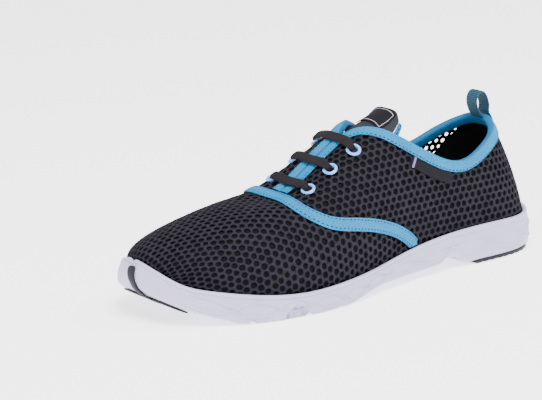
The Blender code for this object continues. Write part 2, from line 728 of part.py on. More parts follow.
def make_treads():
    """The black rubber: a pad under the toe with a finger up its front, a wedge on the inner side and a heel plate."""
    rubber = material("rubber", 0.6)
    stations = sole_stations()
    pad = stations[along_of(stations) > TOE_PAD]
    places = np.concatenate([pad, 2 - pad[::-1][1:]])
    tread_patch("toe_tread", [(down, 1.0) for down in (1.0, 1.001, 1.5, 1.95)], rubber, places, 1.0)
    inner, outer = [], []
    for down, width in ((0.18, 0.5), (0.23, 0.9), (0.40, 1.0), (0.70, 1.0), (0.95, 1.1)):
        left, tip, right = sole_skin(np.array([stations[-2], 1.0, -stations[-2]]), np.full(3, down))
        reach = FINGER_WIDTH / 2 * width
        left = tip + (left - tip) * reach / np.abs(left[1] - tip[1])
        right = tip + (right - tip) * reach / np.abs(right[1] - tip[1])
        row = np.stack([left, tip, right])
        inner.append(row + np.array([GAP * 1.4, 0, 0]))
        outer.append(row + np.array([GAP * 1.4 + TREAD_THICKNESS, 0, 0]))
    plate("toe_guard", np.array(outer), np.array(inner), rubber)
    places = -stations[(along_of(stations) < 0.876) & (along_of(stations) > 0.770)][::-1]
    rows = [(0.56, 0.20), (0.70, 0.45), (0.85, 0.72), (1.0, 1.0)]
    tread_patch("medial_tread", rows, rubber, places, places[0])
    stations = np.linspace(0, float(station_of(0.215)), 10)
    station = np.concatenate([stations[::-1], -stations[1:]])
    edge = sole_edge(station)
    (nx, ny), inset = plan_normal(station), SOLE_BEVEL * 0.9
    x, y = edge[:, 0] - nx * inset, edge[:, 1] - ny * inset
    half = len(stations)
    back_x, y_left, y_right = x[:half], y[:half], y[::-1][:half]
    across = np.linspace(0, 1, 5)[None, :]
    plan_y = y_left[:, None] * (1 - across) + y_right[:, None] * across
    plan_x = np.broadcast_to(back_x[:, None], plan_y.shape)
    level = underside_height(plan_x, plan_y) - GAP
    plate("heel_tread", pack(plan_x, plan_y, level), pack(plan_x, plan_y, 0.0), rubber)


def make_insole():
    """The insole, lying on the sole's floor inside the wall."""
    stations = stations_for(count=18)
    tops, bottoms = [], []
    for side in (1, -1):
        station = side * stations
        fx, fy = foot_of_wall(station)
        x = HEEL_OVERHANG + 0.0055 + (fx - HEEL_OVERHANG) * 0.925
        y = centre_at(x) + (fy - centre_at(fx)) * 0.90
        mx = np.clip(x, HEEL_AXIS * 0.6, SOLE_LENGTH * 0.875)
        my = centre_at(mx)
        top, bottom = [], []
        for s in (0, 0.55, 1):
            px, py = mx + (x - mx) * s, my + (y - my) * s
            low = floor_height(px) + GAP
            bottom.append(pack(px, py, low))
            top.append(pack(px, py, low + INSOLE_THICKNESS))
        tops.append(np.stack(top))
        bottoms.append(np.stack(bottom))
    rims = [np.stack([top[-1], bottom[-1]]) for top, bottom in zip(tops, bottoms)]
    return mesh_from_grids("insole", [*tops, *bottoms, *rims], material("insole"))


def make_binding():
    """The folded tape round the collar and down both edges of the throat, with a slot for the upper's edge."""
    end = THROAT_BASE - (THROAT_END + BINDING_THICKNESS + GAP) / LAST_LENGTH
    shares = along_of(upper_stations())
    station, up = topline_path([end, *shares[shares < end - 0.008][::-1]])
    heading, normal = edge_headings(station, up)
    along = along_of(station)
    front = np.clip((along - 0.40) / 0.08, 0, 1)
    outer = COLLAR_BINDING_WIDTH + (THROAT_BINDING_WIDTH - COLLAR_BINDING_WIDTH) * front
    inner = np.minimum(outer, INNER_BINDING_WIDTH)
    gap, thick = GAP, BINDING_THICKNESS
    inside = -(UPPER_WALL + 2 * gap)
    zero = np.zeros(station.shape)
    low = gap * 1.5
    section = [
        (outer, low),
        (outer, low + thick),
        (outer * 0.5, low + thick),
        (zero - gap - thick * 0.3, low + thick),
        (zero - gap - thick, inside * 0.5),
        (zero - gap - thick * 0.3, inside - thick),
        (inner * 0.5, inside - thick),
        (inner, inside - thick),
        (inner, inside),
        (inner * 0.5, inside),
        (zero - gap, inside),
        (zero - gap, low),
        (outer * 0.5, low),
    ]
    rings = [from_edge(station, up, heading, normal, reach, offset) for reach, offset in section]
    return swept("edge_binding", np.stack(rings, 1), material("binding"))


def tape_line(count):
    """Places along the middle of the vamp tape, from the outer rim of the sole over the ridge to the inner rim."""
    place = np.linspace(0, 1, len(TAPE))
    along = smooth_curve(place, column(TAPE, TAPE_COLUMNS, "along"), level_start=True)
    rise = smooth_curve(place, column(TAPE, TAPE_COLUMNS, "up"))
    s = np.linspace(1, -1, 2 * count - 1)
    share, up = along(np.abs(s)), rise(np.abs(s))
    return np.where(s >= 0, 1, -1) * station_of(share), up


def make_vamp_tape():
    """The tape stitched over the seam between the vamp and the quarters."""
    station, up = tape_line(29)
    up = np.maximum(up, rim_up(station) + 0.012)
    path = wall_point(station, up)
    tangent = unit(np.gradient(path, axis=0))
    normal = wall_normal(station, up)
    heading = unit(np.cross(normal, tangent))
    heading = heading * np.sign(heading[len(heading) // 2, 0])
    rows = []
    for share in (-0.5, 0, 0.5):
        rows.append(walk(station, up, heading, np.full(station.shape, share * VAMP_TAPE_WIDTH)))
    for place in rows:
        low = rim_up(place[0]) + 0.010
        np.maximum(place[1], low, out=place[1])
    low = GAP * 1.3
    top = np.stack([wall_offset(*place, np.full(station.shape, low + TAPE_THICKNESS)) for place in rows])
    bottom = np.stack([wall_offset(*place, np.full(station.shape, low)) for place in rows])
    return plate("vamp_tape", top, bottom, material("binding"))


def tongue_point(along, across, reach, depth):
    """A point of the tongue: it follows the wall under the throat and opens out flatter above the collar."""
    along, across, reach = np.broadcast_arrays(along, across, reach)
    side = np.where(across >= 0, 1, -1)
    station = side * station_of(along)
    (_, fy), (_, hy) = foot_of_wall(station), head_of_wall(station)
    room = np.minimum(reach, TONGUE_SHARE * np.abs(fy - hy))
    up = up_near_ridge(station, np.abs(across) * room)
    point = wall_offset(station, up, np.full(station.shape, -depth))
    free = np.clip((TONGUE_FREE - along) / (TONGUE_FREE - TONGUE_TOP), 0, 1) ** 1.5
    opening = free * TONGUE_OPENING * INSTEP_HEIGHT * np.minimum(np.abs(across), 1.3) ** 2.4
    return point + pack(0 * opening, 0 * opening, opening)


def make_tongue():
    """The tongue under the throat, its taped side edges and the patch near its top."""
    depth = UPPER_WALL + BINDING_THICKNESS + LABEL_THICKNESS + 5 * GAP
    patch = TONGUE_TOP + np.array([0.062, 0.048, 0.034, 0.020, 0.006])
    along = np.concatenate([np.linspace(TONGUE_FOOT, patch[0] + 0.024, 8), patch, [TONGUE_TOP]])[:, None]
    across = np.array([[1, 0.86, 0.72, 0.48, 0.24, 0, -0.24, -0.48, -0.72, -0.86, -1]])
    crown = np.clip((0.45 - along) / (0.45 - TONGUE_TOP), 0, 1) * 0.012
    share = along + crown * np.abs(across) ** 3
    reach = TONGUE_HALF_WIDTH * (0.78 + 0.22 * np.clip((TONGUE_FOOT - along) / 0.2, 0, 1))
    top = tongue_point(share, across, reach, depth)
    bottom = tongue_point(share, across, reach, depth + TONGUE_THICKNESS)
    plate("tongue", top, bottom, material("mesh"))
    for name, side in (("tongue_edge_lateral", 1), ("tongue_edge_medial", -1)):
        rim = np.array([[0.0, 1.0]])
        beside = side * (1 + (GAP * 1.4 + rim * TONGUE_EDGE_WIDTH) / reach[3:])
        over = tongue_point((along + crown)[3:], beside, reach[3:], depth)
        under = tongue_point((along + crown)[3:], beside, reach[3:], depth + TONGUE_THICKNESS)
        plate(name, over, under, material("binding"))
    share, across = share[-6:-1, 2:-2], across[:, 2:-2]
    over = tongue_point(share, across, reach[-6:-1], depth - GAP - LABEL_THICKNESS)
    under = tongue_point(share, across, reach[-6:-1], depth - GAP)
    plate("tongue_label", over, under, material("label"))


def make_side_label():
    """The flat woven tab that hangs from the lower edge of the collar binding on the outer side."""
    middle = HEEL_OVERHANG + LAST_LENGTH * LABEL_MIDDLE
    ends = [(middle - HEEL_OVERHANG + LABEL_LENGTH * s) / LAST_LENGTH for s in (-0.47, 0.47)]
    fine = station_of(np.linspace(ends[0] - 0.02, ends[1] + 0.02, 25))
    up = topline_up(fine)
    heading, _ = edge_headings(fine, up)
    pick = np.linspace(2, 22, 6).astype(int)
    tops, bottoms = [], []
    for s in (0, 0.5, 1):
        reach = COLLAR_BINDING_WIDTH + GAP + LABEL_DROP * s
        there = walk(fine[pick], up[pick], heading[pick], np.full(len(pick), reach))
        tops.append(wall_offset(*there, np.full(len(pick), GAP + LABEL_THICKNESS)))
        bottoms.append(wall_offset(*there, np.full(len(pick), GAP)))
    return plate("side_label", np.stack(tops), np.stack(bottoms), material("label"))


def make_eyelets():
    """The eyelets: each a flange on the wall with a barrel through it."""
    barrel, sides = EYELET_HOLE_RADIUS + EYELET_BAND * 0.6, 10
    section = (
        (EYELET_RADIUS, EYELET_SEAT),
        (EYELET_RADIUS - 0.0003, EYELET_SEAT + EYELET_BAND * 0.8),
        ((EYELET_RADIUS + EYELET_HOLE_RADIUS) / 2, EYELET_SEAT + EYELET_BAND),
        (EYELET_HOLE_RADIUS, EYELET_SEAT + EYELET_BAND * 0.6),
        (EYELET_HOLE_RADIUS, -UPPER_WALL - 0.0002),
        (barrel, -UPPER_WALL - 0.0002),
        (barrel, EYELET_SEAT),
    )
    for row in range(len(EYELET_ROWS)):
        for side, word in ((1, "lateral"), (-1, "medial")):
            station, up = eyelet_place(row, side)
            centre = wall_point(np.array(station), np.array(up))
            normal = wall_normal(np.array(station), np.array(up))
            rings = []
            for radius, offset in section:
                on_wall = wall_offset(*around(station, up, radius, sides), np.full(sides, offset))
                if radius <= barrel:
                    lift = (on_wall - centre) @ normal
                    on_wall = on_wall + (offset - lift)[:, None] * normal
                rings.append(on_wall)
            swept(f"eyelet_{word}_{row + 1}", np.stack(rings), material("eyelet", 0.4), round_trip=True)


def make_laces():
    """The three lace bars, each one from the hole of an outer eyelet over the throat to that of the inner one."""
    flange = EYELET_SEAT + EYELET_BAND
    cross = max(flange, 1.5 * GAP + BINDING_THICKNESS) + GAP + LACE_HEIGHT / 2 + 0.0002
    hole = EYELET_HOLE_RADIUS - 2 * GAP
    for row in range(len(EYELET_ROWS)):
        points, sides, widths = [], [], []
        for side in (1, -1):
            station, up = eyelet_place(row, side)
            centre = wall_point(np.array(station), np.array(up))
            normal = wall_normal(np.array(station), np.array(up))
            along, rise = (unit(v) for v in slopes(np.array(station), np.array(up)))
            inward = unit(np.cross(along * np.sign(station), normal))
            inward = inward * np.sign(np.dot(inward, rise))
            leg = [(0.0, -UPPER_WALL * 0.6), (0.0, 0.0004), (0.0007, cross * 0.72), (0.0024, cross + 0.0001)]
            legs = [centre + inward * run + normal * lift for run, lift in leg]
            bridge = []
            for share in (0.28, 0.52, 0.76):
                there = up + (1 - up) * share
                bridge.append(wall_offset(np.array(station), np.array(there), cross))
            run = [*legs, *bridge]
            width = [hole, hole, hole, hole * 1.1] + [LACE_WIDTH / 2] * 3
            if side > 0:
                ridge = wall_offset(np.array(station), np.array(1.0), cross)
                points, widths = [*run, ridge], [*width, LACE_WIDTH / 2]
            else:
                points, widths = [*points, *run[::-1]], [*widths, *width[::-1]]
        points, widths = np.array(points), np.array(widths)
        tangent = unit(np.gradient(points, axis=0))
        sideways = np.array([1.0, 0, -0.64])
        across = unit(sideways - tangent * (tangent @ sideways)[:, None])
        lift = np.cross(tangent, across)
        angle = np.arange(8) * 2 * np.pi / 8 + np.pi / 8
        cosine = np.sign(np.cos(angle)) * np.abs(np.cos(angle)) ** 0.8
        sine = np.sin(angle)
        height = np.minimum(LACE_HEIGHT / 2, widths)
        rings = points[:, None] + across[:, None] * (widths[:, None] * cosine)[..., None]
        rings = rings + lift[:, None] * (height[:, None] * sine)[..., None]
        swept(f"lace_bar_{row + 1}", rings, material("lace"))


def make_pull_loop():
    """The webbing loop at the back of the collar, with one leg outside it and one inside."""
    top = float(topline_up(np.array(0.0)))
    edge, normal = wall_point(np.array(0.0), np.array(top)), wall_normal(np.array(0.0), np.array(top))
    rise = unit(edge - wall_point(np.array(0.0), np.array(top - 0.05)))
    outside = GAP * 3 + BINDING_THICKNESS + LOOP_THICKNESS / 2
    inside = -(UPPER_WALL + GAP * 3 + BINDING_THICKNESS + LOOP_THICKNESS / 2 + 0.0013)
    leg, high, deep = 0.0050, LOOP_HEIGHT, LOOP_DEPTH
    line = [(inside, -leg), (inside, -leg * 0.3)]
    line += [(-deep * across, high * level) for across, level in LOOP_LINE]
    line += [(outside, -leg * 0.1), (outside, -leg)]
    upright, back = unit(rise + np.array([0, 0, 1.2])), unit(normal + np.array([-1.2, 0, 0]))
    path = []
    for out, level in line:
        free = min(max(level / (0.2 * high), 0), 1)
        step = unit(rise * (1 - free) + upright * free) * level
        path.append(edge + step + unit(normal * (1 - free) + back * free) * out)
    path = np.array(path)
    turn = unit(np.gradient(path, axis=0))
    face = np.cross(turn, np.array([0.0, 1.0, 0.0]))
    side = np.array([0.0, LOOP_WIDTH / 2, 0.0])
    half = face * LOOP_THICKNESS / 2
    rings = np.stack([path + half + side, path - half + side, path - half - side, path + half - side], 1)
    return swept("pull_loop", rings, material("webbing"))


def clear_scene():
    for old in list(bpy.data.objects):
        bpy.data.objects.remove(old)


def stand_on_origin():
    """Moves the whole shoe so that the origin is the middle of the bottom of its bounding box."""
    bpy.context.view_layer.update()
    depsgraph = bpy.context.evaluated_depsgraph_get()
    corners = []
    for made in bpy.data.objects:
        if made.hide_render:
            continue
        seen = made.evaluated_get(depsgraph)
        mesh = seen.to_mesh()
        place = np.empty(len(mesh.vertices) * 3)
        mesh.vertices.foreach_get("co", place)
        world = np.array(made.matrix_world)
        corners.append(place.reshape(-1, 3) @ world[:3, :3].T + world[:3, 3])
        seen.to_mesh_clear()
    corners = np.concatenate(corners)
    low, high = corners.min(0), corners.max(0)
    shift = Vector((-(low[0] + high[0]) / 2, -(low[1] + high[1]) / 2, -low[2]))
    for made in bpy.data.objects:
        made.location += shift


def main():
    clear_scene()
    make_sole()
    make_treads()
    make_insole()
    make_upper()
    make_vamp_tape()
    make_binding()
    make_tongue()
    make_side_label()
    make_eyelets()
    make_laces()
    make_pull_loop()
    stand_on_origin()


main()
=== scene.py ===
import math

import bmesh
import bpy
import numpy as np
from mathutils import Matrix, Vector


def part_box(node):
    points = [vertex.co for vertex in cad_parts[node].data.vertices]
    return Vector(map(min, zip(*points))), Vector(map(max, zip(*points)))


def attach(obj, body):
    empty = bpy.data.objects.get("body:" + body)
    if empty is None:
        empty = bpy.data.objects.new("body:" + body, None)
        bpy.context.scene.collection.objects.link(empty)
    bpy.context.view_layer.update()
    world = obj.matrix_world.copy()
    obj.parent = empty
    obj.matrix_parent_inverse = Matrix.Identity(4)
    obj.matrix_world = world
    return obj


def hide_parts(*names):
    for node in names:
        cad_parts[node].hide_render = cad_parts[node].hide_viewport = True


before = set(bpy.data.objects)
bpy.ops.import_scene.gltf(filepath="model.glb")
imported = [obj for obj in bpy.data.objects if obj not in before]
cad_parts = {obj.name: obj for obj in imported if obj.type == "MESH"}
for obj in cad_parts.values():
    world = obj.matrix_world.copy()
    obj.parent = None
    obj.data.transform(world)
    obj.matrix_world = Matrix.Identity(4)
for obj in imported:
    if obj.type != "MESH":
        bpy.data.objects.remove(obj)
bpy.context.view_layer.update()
print("frame loaded")

# sizes of the last, in metres, as the solids have them
last = {
    "soleLength": 0.285,
    "ballWidth": 0.0915,
    "instepHeight": 0.1000,
    "seatHeight": 0.0140,
    "heelAxis": 0.0400,
    "heelOverhang": 0.0024,
    "toeOverhang": 0.0055,
    "pressWidth": 0.25,
    "gap": 0.0003,
    "wall": 0.0018,
    "throatBase": 0.660,
    "throatEnd": 0.0012,
    "throatHalf": 0.00135,
}
lastLength = last["soleLength"] - last["heelOverhang"] - last["toeOverhang"]

# along, centre, crest, half width, seat, ridge, press, outer, inner
sections = np.array([
    (0.000, 0.000, 0.000, 0.000, 1.10, 1.010, 0.000, 1.36, 1.36),
    (0.030, 0.000, 0.000, 0.252, 1.08, 1.010, 0.000, 1.40, 1.40),
    (0.080, 0.000, 0.000, 0.346, 1.05, 1.015, 0.000, 1.56, 1.56),
    (0.150, 0.000, 0.000, 0.366, 1.00, 1.030, 0.000, 1.88, 1.88),
    (0.280, 0.012, 0.000, 0.352, 0.95, 1.060, 0.000, 2.20, 2.25),
    (0.400, 0.036, 0.000, 0.352, 0.90, 0.992, 0.006, 2.20, 2.45),
    (0.490, 0.046, -0.004, 0.385, 0.82, 0.894, 0.028, 2.15, 2.60),
    (0.570, 0.044, -0.008, 0.432, 0.74, 0.760, 0.032, 2.20, 2.75),
    (0.650, 0.030, -0.012, 0.476, 0.68, 0.628, 0.032, 2.25, 2.95),
    (0.740, 0.000, -0.026, 0.500, 0.66, 0.575, 0.010, 2.35, 2.85),
    (0.840, -0.048, -0.060, 0.462, 0.88, 0.522, 0.000, 2.35, 2.70),
    (0.920, -0.087, -0.092, 0.374, 1.22, 0.464, 0.000, 2.35, 2.65),
    (0.970, -0.113, -0.115, 0.256, 1.66, 0.412, 0.000, 2.35, 2.55),
    (1.000, -0.125, -0.125, 0.000, 2.36, 0.3304, 0.000, 2.35, 2.35),
])
# along, height of the collar's edge
topline = np.array([
    (0.000, 0.815), (0.030, 0.809), (0.080, 0.776), (0.150, 0.712), (0.200, 0.655), (0.240, 0.641),
    (0.280, 0.668), (0.320, 0.724), (0.360, 0.792), (0.400, 0.864), (0.430, 0.908), (0.460, 0.922),
    (0.480, 0.906), (0.500, 0.885),
])
# along, rim outside, rim inside, flare
rimTable = np.array([
    (0.000, 1.72, 1.72, 0.46), (0.060, 1.66, 1.66, 0.56), (0.150, 1.69, 1.72, 0.66), (0.280, 1.64, 1.76, 0.66),
    (0.360, 1.51, 1.74, 0.70), (0.440, 1.31, 1.58, 0.80), (0.520, 1.09, 1.36, 0.92), (0.600, 0.97, 1.12, 1.00),
    (0.650, 0.93, 1.02, 1.00), (0.720, 0.93, 0.98, 1.00), (0.800, 1.06, 1.08, 1.00), (0.900, 1.40, 1.42, 1.00),
    (0.955, 1.72, 1.74, 1.00), (0.985, 2.20, 2.20, 1.00), (1.000, 2.60, 2.60, 1.00),
])
# along, underside outside, underside inside
underTable = np.array([
    (0.000, 0.22, 0.22), (0.030, 0.16, 0.16), (0.235, 0.16, 0.16), (0.255, 0.24, 0.24), (0.275, 0.58, 0.66),
    (0.300, 0.58, 0.72), (0.325, 0.36, 0.62), (0.420, 0.33, 0.60), (0.500, 0.34, 0.52), (0.560, 0.16, 0.22),
    (0.610, 0.00, 0.00), (0.800, 0.00, 0.00), (0.850, 0.06, 0.06), (0.890, 0.33, 0.33), (0.925, 0.58, 0.58),
    (0.950, 0.80, 0.80), (0.972, 1.08, 1.08), (0.987, 1.36, 1.36), (1.000, 1.78, 1.78),
])
# along, up: the middle of the vamp tape from the ridge to the sole
tapeTable = np.array([
    (0.668, 1.000), (0.672, 0.830), (0.670, 0.672), (0.643, 0.506), (0.588, 0.361), (0.496, 0.228),
    (0.441, 0.154), (0.404, 0.090), (0.388, 0.040),
])
loopTable = np.array([
    (0.56, 0.18), (0.66, 0.42), (0.67, 0.66), (0.52, 0.87), (0.22, 0.985), (-0.08, 0.94), (-0.28, 0.76),
    (-0.35, 0.54), (-0.32, 0.32), (-0.25, 0.12),
])


# natural cubic spline: between knots a cubic whose bend is solved from the slopes
def splineCurve(knots, values, levelStart=False):
    knots, values = np.asarray(knots, float), np.asarray(values, float)
    count, step = len(knots), np.diff(knots)
    slope = np.diff(values) / step
    system, right = np.eye(count), np.zeros(count)
    for i in range(1, count - 1):
        system[i, i - 1 : i + 2] = step[i - 1], 2 * (step[i - 1] + step[i]), step[i]
        right[i] = 6 * (slope[i] - slope[i - 1])
    if levelStart:
        system[0, :2] = 2 * step[0], step[0]
        right[0] = 6 * slope[0]
    bend = np.linalg.solve(system, right)

    def at(place):
        place = np.asarray(place, float)
        i = np.clip(np.searchsorted(knots, place) - 1, 0, count - 2)
        h, before, after = step[i], place - knots[i], knots[i + 1] - place
        cubic = (bend[i] * after**3 + bend[i + 1] * before**3) / (6 * h)
        line = (values[i] / h - bend[i] * h / 6) * after
        return cubic + line + (values[i + 1] / h - bend[i + 1] * h / 6) * before

    return at


# cubic through the knots with harmonic-mean slopes, so level stretches stay level
def levelCurve(knots, values):
    step = np.diff(knots)
    slope = np.diff(values) / step
    tangent = np.zeros(len(knots))
    rising = slope[:-1] * slope[1:] > 0
    both = np.where(rising, slope[:-1] + slope[1:], 1)
    tangent[1:-1] = np.where(rising, 2 * slope[:-1] * slope[1:] / both, 0)
    tangent[0], tangent[-1] = slope[0], slope[-1]

    def at(place):
        place = np.clip(np.asarray(place, float), knots[0], knots[-1])
        i = np.clip(np.searchsorted(knots, place) - 1, 0, len(step) - 1)
        s = (place - knots[i]) / step[i]
        start = values[i] * (1 + 2 * s) * (1 - s) ** 2 + tangent[i] * step[i] * s * (1 - s) ** 2
        return start + values[i + 1] * s**2 * (3 - 2 * s) + tangent[i + 1] * step[i] * s**2 * (s - 1)

    return at


# station = acos(1 - 2 along) / pi, close together at both ends
def stationOf(along):
    return np.arccos(1 - 2 * np.clip(np.asarray(along, float), 0, 1)) / np.pi


# the way back: along = (1 - cos(pi station)) / 2
def alongOf(station):
    return (1 - np.cos(np.pi * np.abs(station))) / 2


# a column of a table as a spline over the stations
def stationCurve(table, k, **ends):
    return splineCurve(stationOf(table[:, 0]), table[:, k], **ends)


centreOf = stationCurve(sections, 1, levelStart=True)
crestOf = stationCurve(sections, 2, levelStart=True)
halfOf = stationCurve(sections, 3)
seatOf = stationCurve(sections, 4, levelStart=True)
ridgeOf = stationCurve(sections, 5, levelStart=True)
pressOf = stationCurve(sections, 6, levelStart=True)
outerOf = stationCurve(sections, 7, levelStart=True)
innerOf = stationCurve(sections, 8, levelStart=True)
edgeOf = stationCurve(topline, 1, levelStart=True)
rimOuterOf = stationCurve(rimTable, 1, levelStart=True)
rimInnerOf = stationCurve(rimTable, 2, levelStart=True)
flareOf = stationCurve(rimTable, 3, levelStart=True)
underOuterOf = levelCurve(underTable[:, 0], underTable[:, 1])
underInnerOf = levelCurve(underTable[:, 0], underTable[:, 2])
tapeAlongOf = splineCurve(tapeTable[::-1, 1], tapeTable[::-1, 0])


# three arrays side by side as points
def pack(x, y, z):
    return np.stack(np.broadcast_arrays(x, y, z), -1)


# vectors over their own length
def unit(vectors):
    return vectors / np.maximum(np.linalg.norm(vectors, axis=-1, keepdims=True), 1e-12)


def smooth(low, high, value):  # 3t^2 - 2t^3 between low and high
    t = np.clip((value - low) / (high - low), 0, 1)
    return t * t * (3 - 2 * t)


# plan outline: x along the last, y = centre +- half width
def footOfWall(station):
    share = np.abs(station)
    x = last["heelOverhang"] + lastLength * alongOf(share)
    return x, last["ballWidth"] * (centreOf(share) + np.sign(station) * halfOf(share))


# ridge line: sections fan out of one axis at the heel
def headOfWall(station):
    share = np.abs(station)
    flat, axis = last["heelOverhang"] + lastLength * alongOf(share), last["heelAxis"]
    x = (flat + axis + np.sqrt((flat - axis) ** 2 + 0.006**2)) / 2
    return np.minimum(x, flat + axis), last["ballWidth"] * crestOf(share)


# the superellipse's power on the side that the station's sign names
def fullness(station):
    share = np.abs(station)
    return np.where(station >= 0, outerOf(share), innerOf(share))


# outer face of the upper: superellipse |y/a|^p + |z/b|^p = 1 from the seat (up 0) to the ridge (up 1)
def wallPoint(station, up):
    station, up = np.broadcast_arrays(np.asarray(station, float), np.asarray(up, float))
    over = up > 1
    station, up = np.where(over, -station, station), np.where(over, 2 - up, up)
    beyond = np.abs(station) > 1
    station = np.where(beyond, -np.sign(station) * (2 - np.abs(station)), station)
    power, angle = fullness(station), up * np.pi / 2
    across, rise = np.maximum(np.cos(angle), 0), np.maximum(np.sin(angle), 0)
    size = (across**power + rise**power) ** (1 / power)
    (fx, fy), (hx, hy) = footOfWall(station), headOfWall(station)
    share = np.abs(station)
    seat, ridge = last["seatHeight"] * seatOf(share), last["instepHeight"] * ridgeOf(share)
    reach = across / size
    near = 1 - ((fy - hy) * reach / (last["pressWidth"] * last["ballWidth"])) ** 2
    press = last["instepHeight"] * pressOf(share) * np.maximum(near, 0) ** 2
    return pack(hx + (fx - hx) * reach, hy + (fy - hy) * reach, seat + (ridge - seat) * rise / size - press)


# solves the superellipse for its angle, with across = (1 - rise^p)^(1/p)
def upAtHeight(station, height):
    power, share = fullness(station), np.abs(station)
    seat, ridge = last["seatHeight"] * seatOf(share), last["instepHeight"] * ridgeOf(share)
    rise = np.clip((height - seat) / np.maximum(ridge - seat, 1e-6), 0, 1)
    return np.arctan2(rise, (1 - rise**power) ** (1 / power)) * 2 / np.pi


# the same from a distance across to the ridge, with rise = (1 - across^p)^(1/p)
def upNearRidge(station, distance):
    power = fullness(station)
    (_, fy), (_, hy) = footOfWall(station), headOfWall(station)
    across = np.clip(distance / np.maximum(np.abs(fy - hy), 1e-3), 0, 1)
    return np.arctan2((1 - across**power) ** (1 / power), across) * 2 / np.pi


# central differences along the stations and up the section
def slopesOf(station, up, small=1e-4):
    along = (wallPoint(station + small, up) - wallPoint(station - small, up)) / (2 * small)
    low, high = np.maximum(up - small, 0), up + small
    return along, (wallPoint(station, high) - wallPoint(station, low)) / (high - low)[..., None]


# cross product of the two slopes, turned outwards
def wallNormal(station, up):
    station, up = np.broadcast_arrays(np.asarray(station, float), np.asarray(up, float))
    along, rise = slopesOf(station, up)
    normal = unit(np.cross(rise, along))
    over = up > 1
    seen, folded = np.where(over, -station, station), np.where(over, 2 - up, up)
    (fx, fy), (hx, hy) = footOfWall(seen), headOfWall(seen)
    reach = np.cos(folded * np.pi / 2)
    outward = pack((fx - hx) * reach, (fy - hy) * reach, 0.03 * folded)
    normal = np.where((np.sum(normal * outward, -1) < 0)[..., None], -normal, normal)
    tip = (1 - np.abs(station)) < 1e-6
    return np.where(tip[..., None], np.array([1.0, 0, 0]), normal)


# the wall's point plus its normal times a distance
def wallOffset(station, up, distance):
    station, up = np.broadcast_arrays(np.asarray(station, float), np.asarray(up, float))
    distance = np.broadcast_to(distance, station.shape)[..., None]
    return wallPoint(station, up) + wallNormal(station, up) * distance


# moves places over the wall: the heading is resolved in the two slopes by the surface's own metric
def walk(station, up, heading, distance, steps=5):
    station, up = np.array(station, float), np.array(up, float)
    for _ in range(steps):
        along, rise = slopesOf(station, up)
        aa, ar, rr = (np.sum(p * q, -1) for p, q in ((along, along), (along, rise), (rise, rise)))
        ah, rh = np.sum(along * heading, -1), np.sum(rise * heading, -1)
        area = np.maximum(aa * rr - ar * ar, 1e-18)
        go = np.stack([(rr * ah - ar * rh) / area, (aa * rh - ar * ah) / area], -1)
        moved = along * go[..., :1] + rise * go[..., 1:]
        go = go / np.maximum(np.linalg.norm(moved, axis=-1, keepdims=True), 1e-12)
        station = station + go[..., 0] * distance / steps
        up = up + go[..., 1] * distance / steps
    return station, up


# the upper's edge: the collar's height, blended by a soft minimum with the slit of the throat
def toplineUp(station):
    along = alongOf(station)
    front = np.clip((last["throatBase"] - along) * lastLength / last["throatEnd"], 0, 1)
    slit = upNearRidge(station, front * last["throatHalf"])
    collar = upAtHeight(station, last["instepHeight"] * edgeOf(np.minimum(np.abs(station), stationOf(0.5))))
    soft = -np.log(np.exp(-30 * collar) + np.exp(-30 * slit)) / 30
    blend = np.clip((along - 0.25) / 0.15, 0, 1)
    edge = np.where(along < 0.5, collar * (1 - blend) + np.minimum(soft, slit) * blend, slit)
    return np.where(along >= last["throatBase"], 1.0, edge)


# the rim's height, a share of the seat's, turned to up and softly held under 0.74
def rimUp(station):
    rim = np.where(station >= 0, rimOuterOf(np.abs(station)), rimInnerOf(np.abs(station)))
    return -np.log(np.exp(-12 * upAtHeight(station, last["seatHeight"] * rim)) + np.exp(-12 * 0.74)) / 12


# the plan outline's chord between two near stations, turned by a right angle
def planNormal(station):
    small = 1e-4
    (ax, ay), (bx, by) = footOfWall(station - small), footOfWall(station + small)
    share = np.abs(station)
    nx, ny = ay - by, bx - ax
    length = np.maximum(np.hypot(nx, ny), 1e-12)
    side = np.sign(station) * np.sign(np.where(ny == 0, 1, ny))
    atEnd = (share < small) | (share > 1 - small)
    ends = np.where(share < 0.5, -1.0, 1.0)
    return np.where(atEnd, ends, nx / length * side), np.where(atEnd, 0.0, ny / length * side)


# the centre line's y at an x
def centreAt(x):
    return last["ballWidth"] * centreOf(stationOf((x - last["heelOverhang"]) / lastLength))


# the sole's upper face: the seat's height less the gap
def floorHeight(x):
    return last["seatHeight"] * seatOf(stationOf((x - last["heelOverhang"]) / lastLength)) - last["gap"]


# seat height times a share that blends from the inner to the outer table over the width
def undersideHeight(x, y):
    along = np.clip(x / last["soleLength"], 0, 1)
    blend = np.clip(0.5 + y / (0.8 * last["ballWidth"]), 0, 1)
    return last["seatHeight"] * (underInnerOf(along) * (1 - blend) + underOuterOf(along) * blend)


# the solids stand on their own origin: the upper's heel and the loop's middle say where that is
upperLow, loopLow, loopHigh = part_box("upper")[0], *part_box("pull_loop")
origin = np.array([upperLow.x - last["heelOverhang"], (loopLow.y + loopHigh.y) / 2, 0.0])

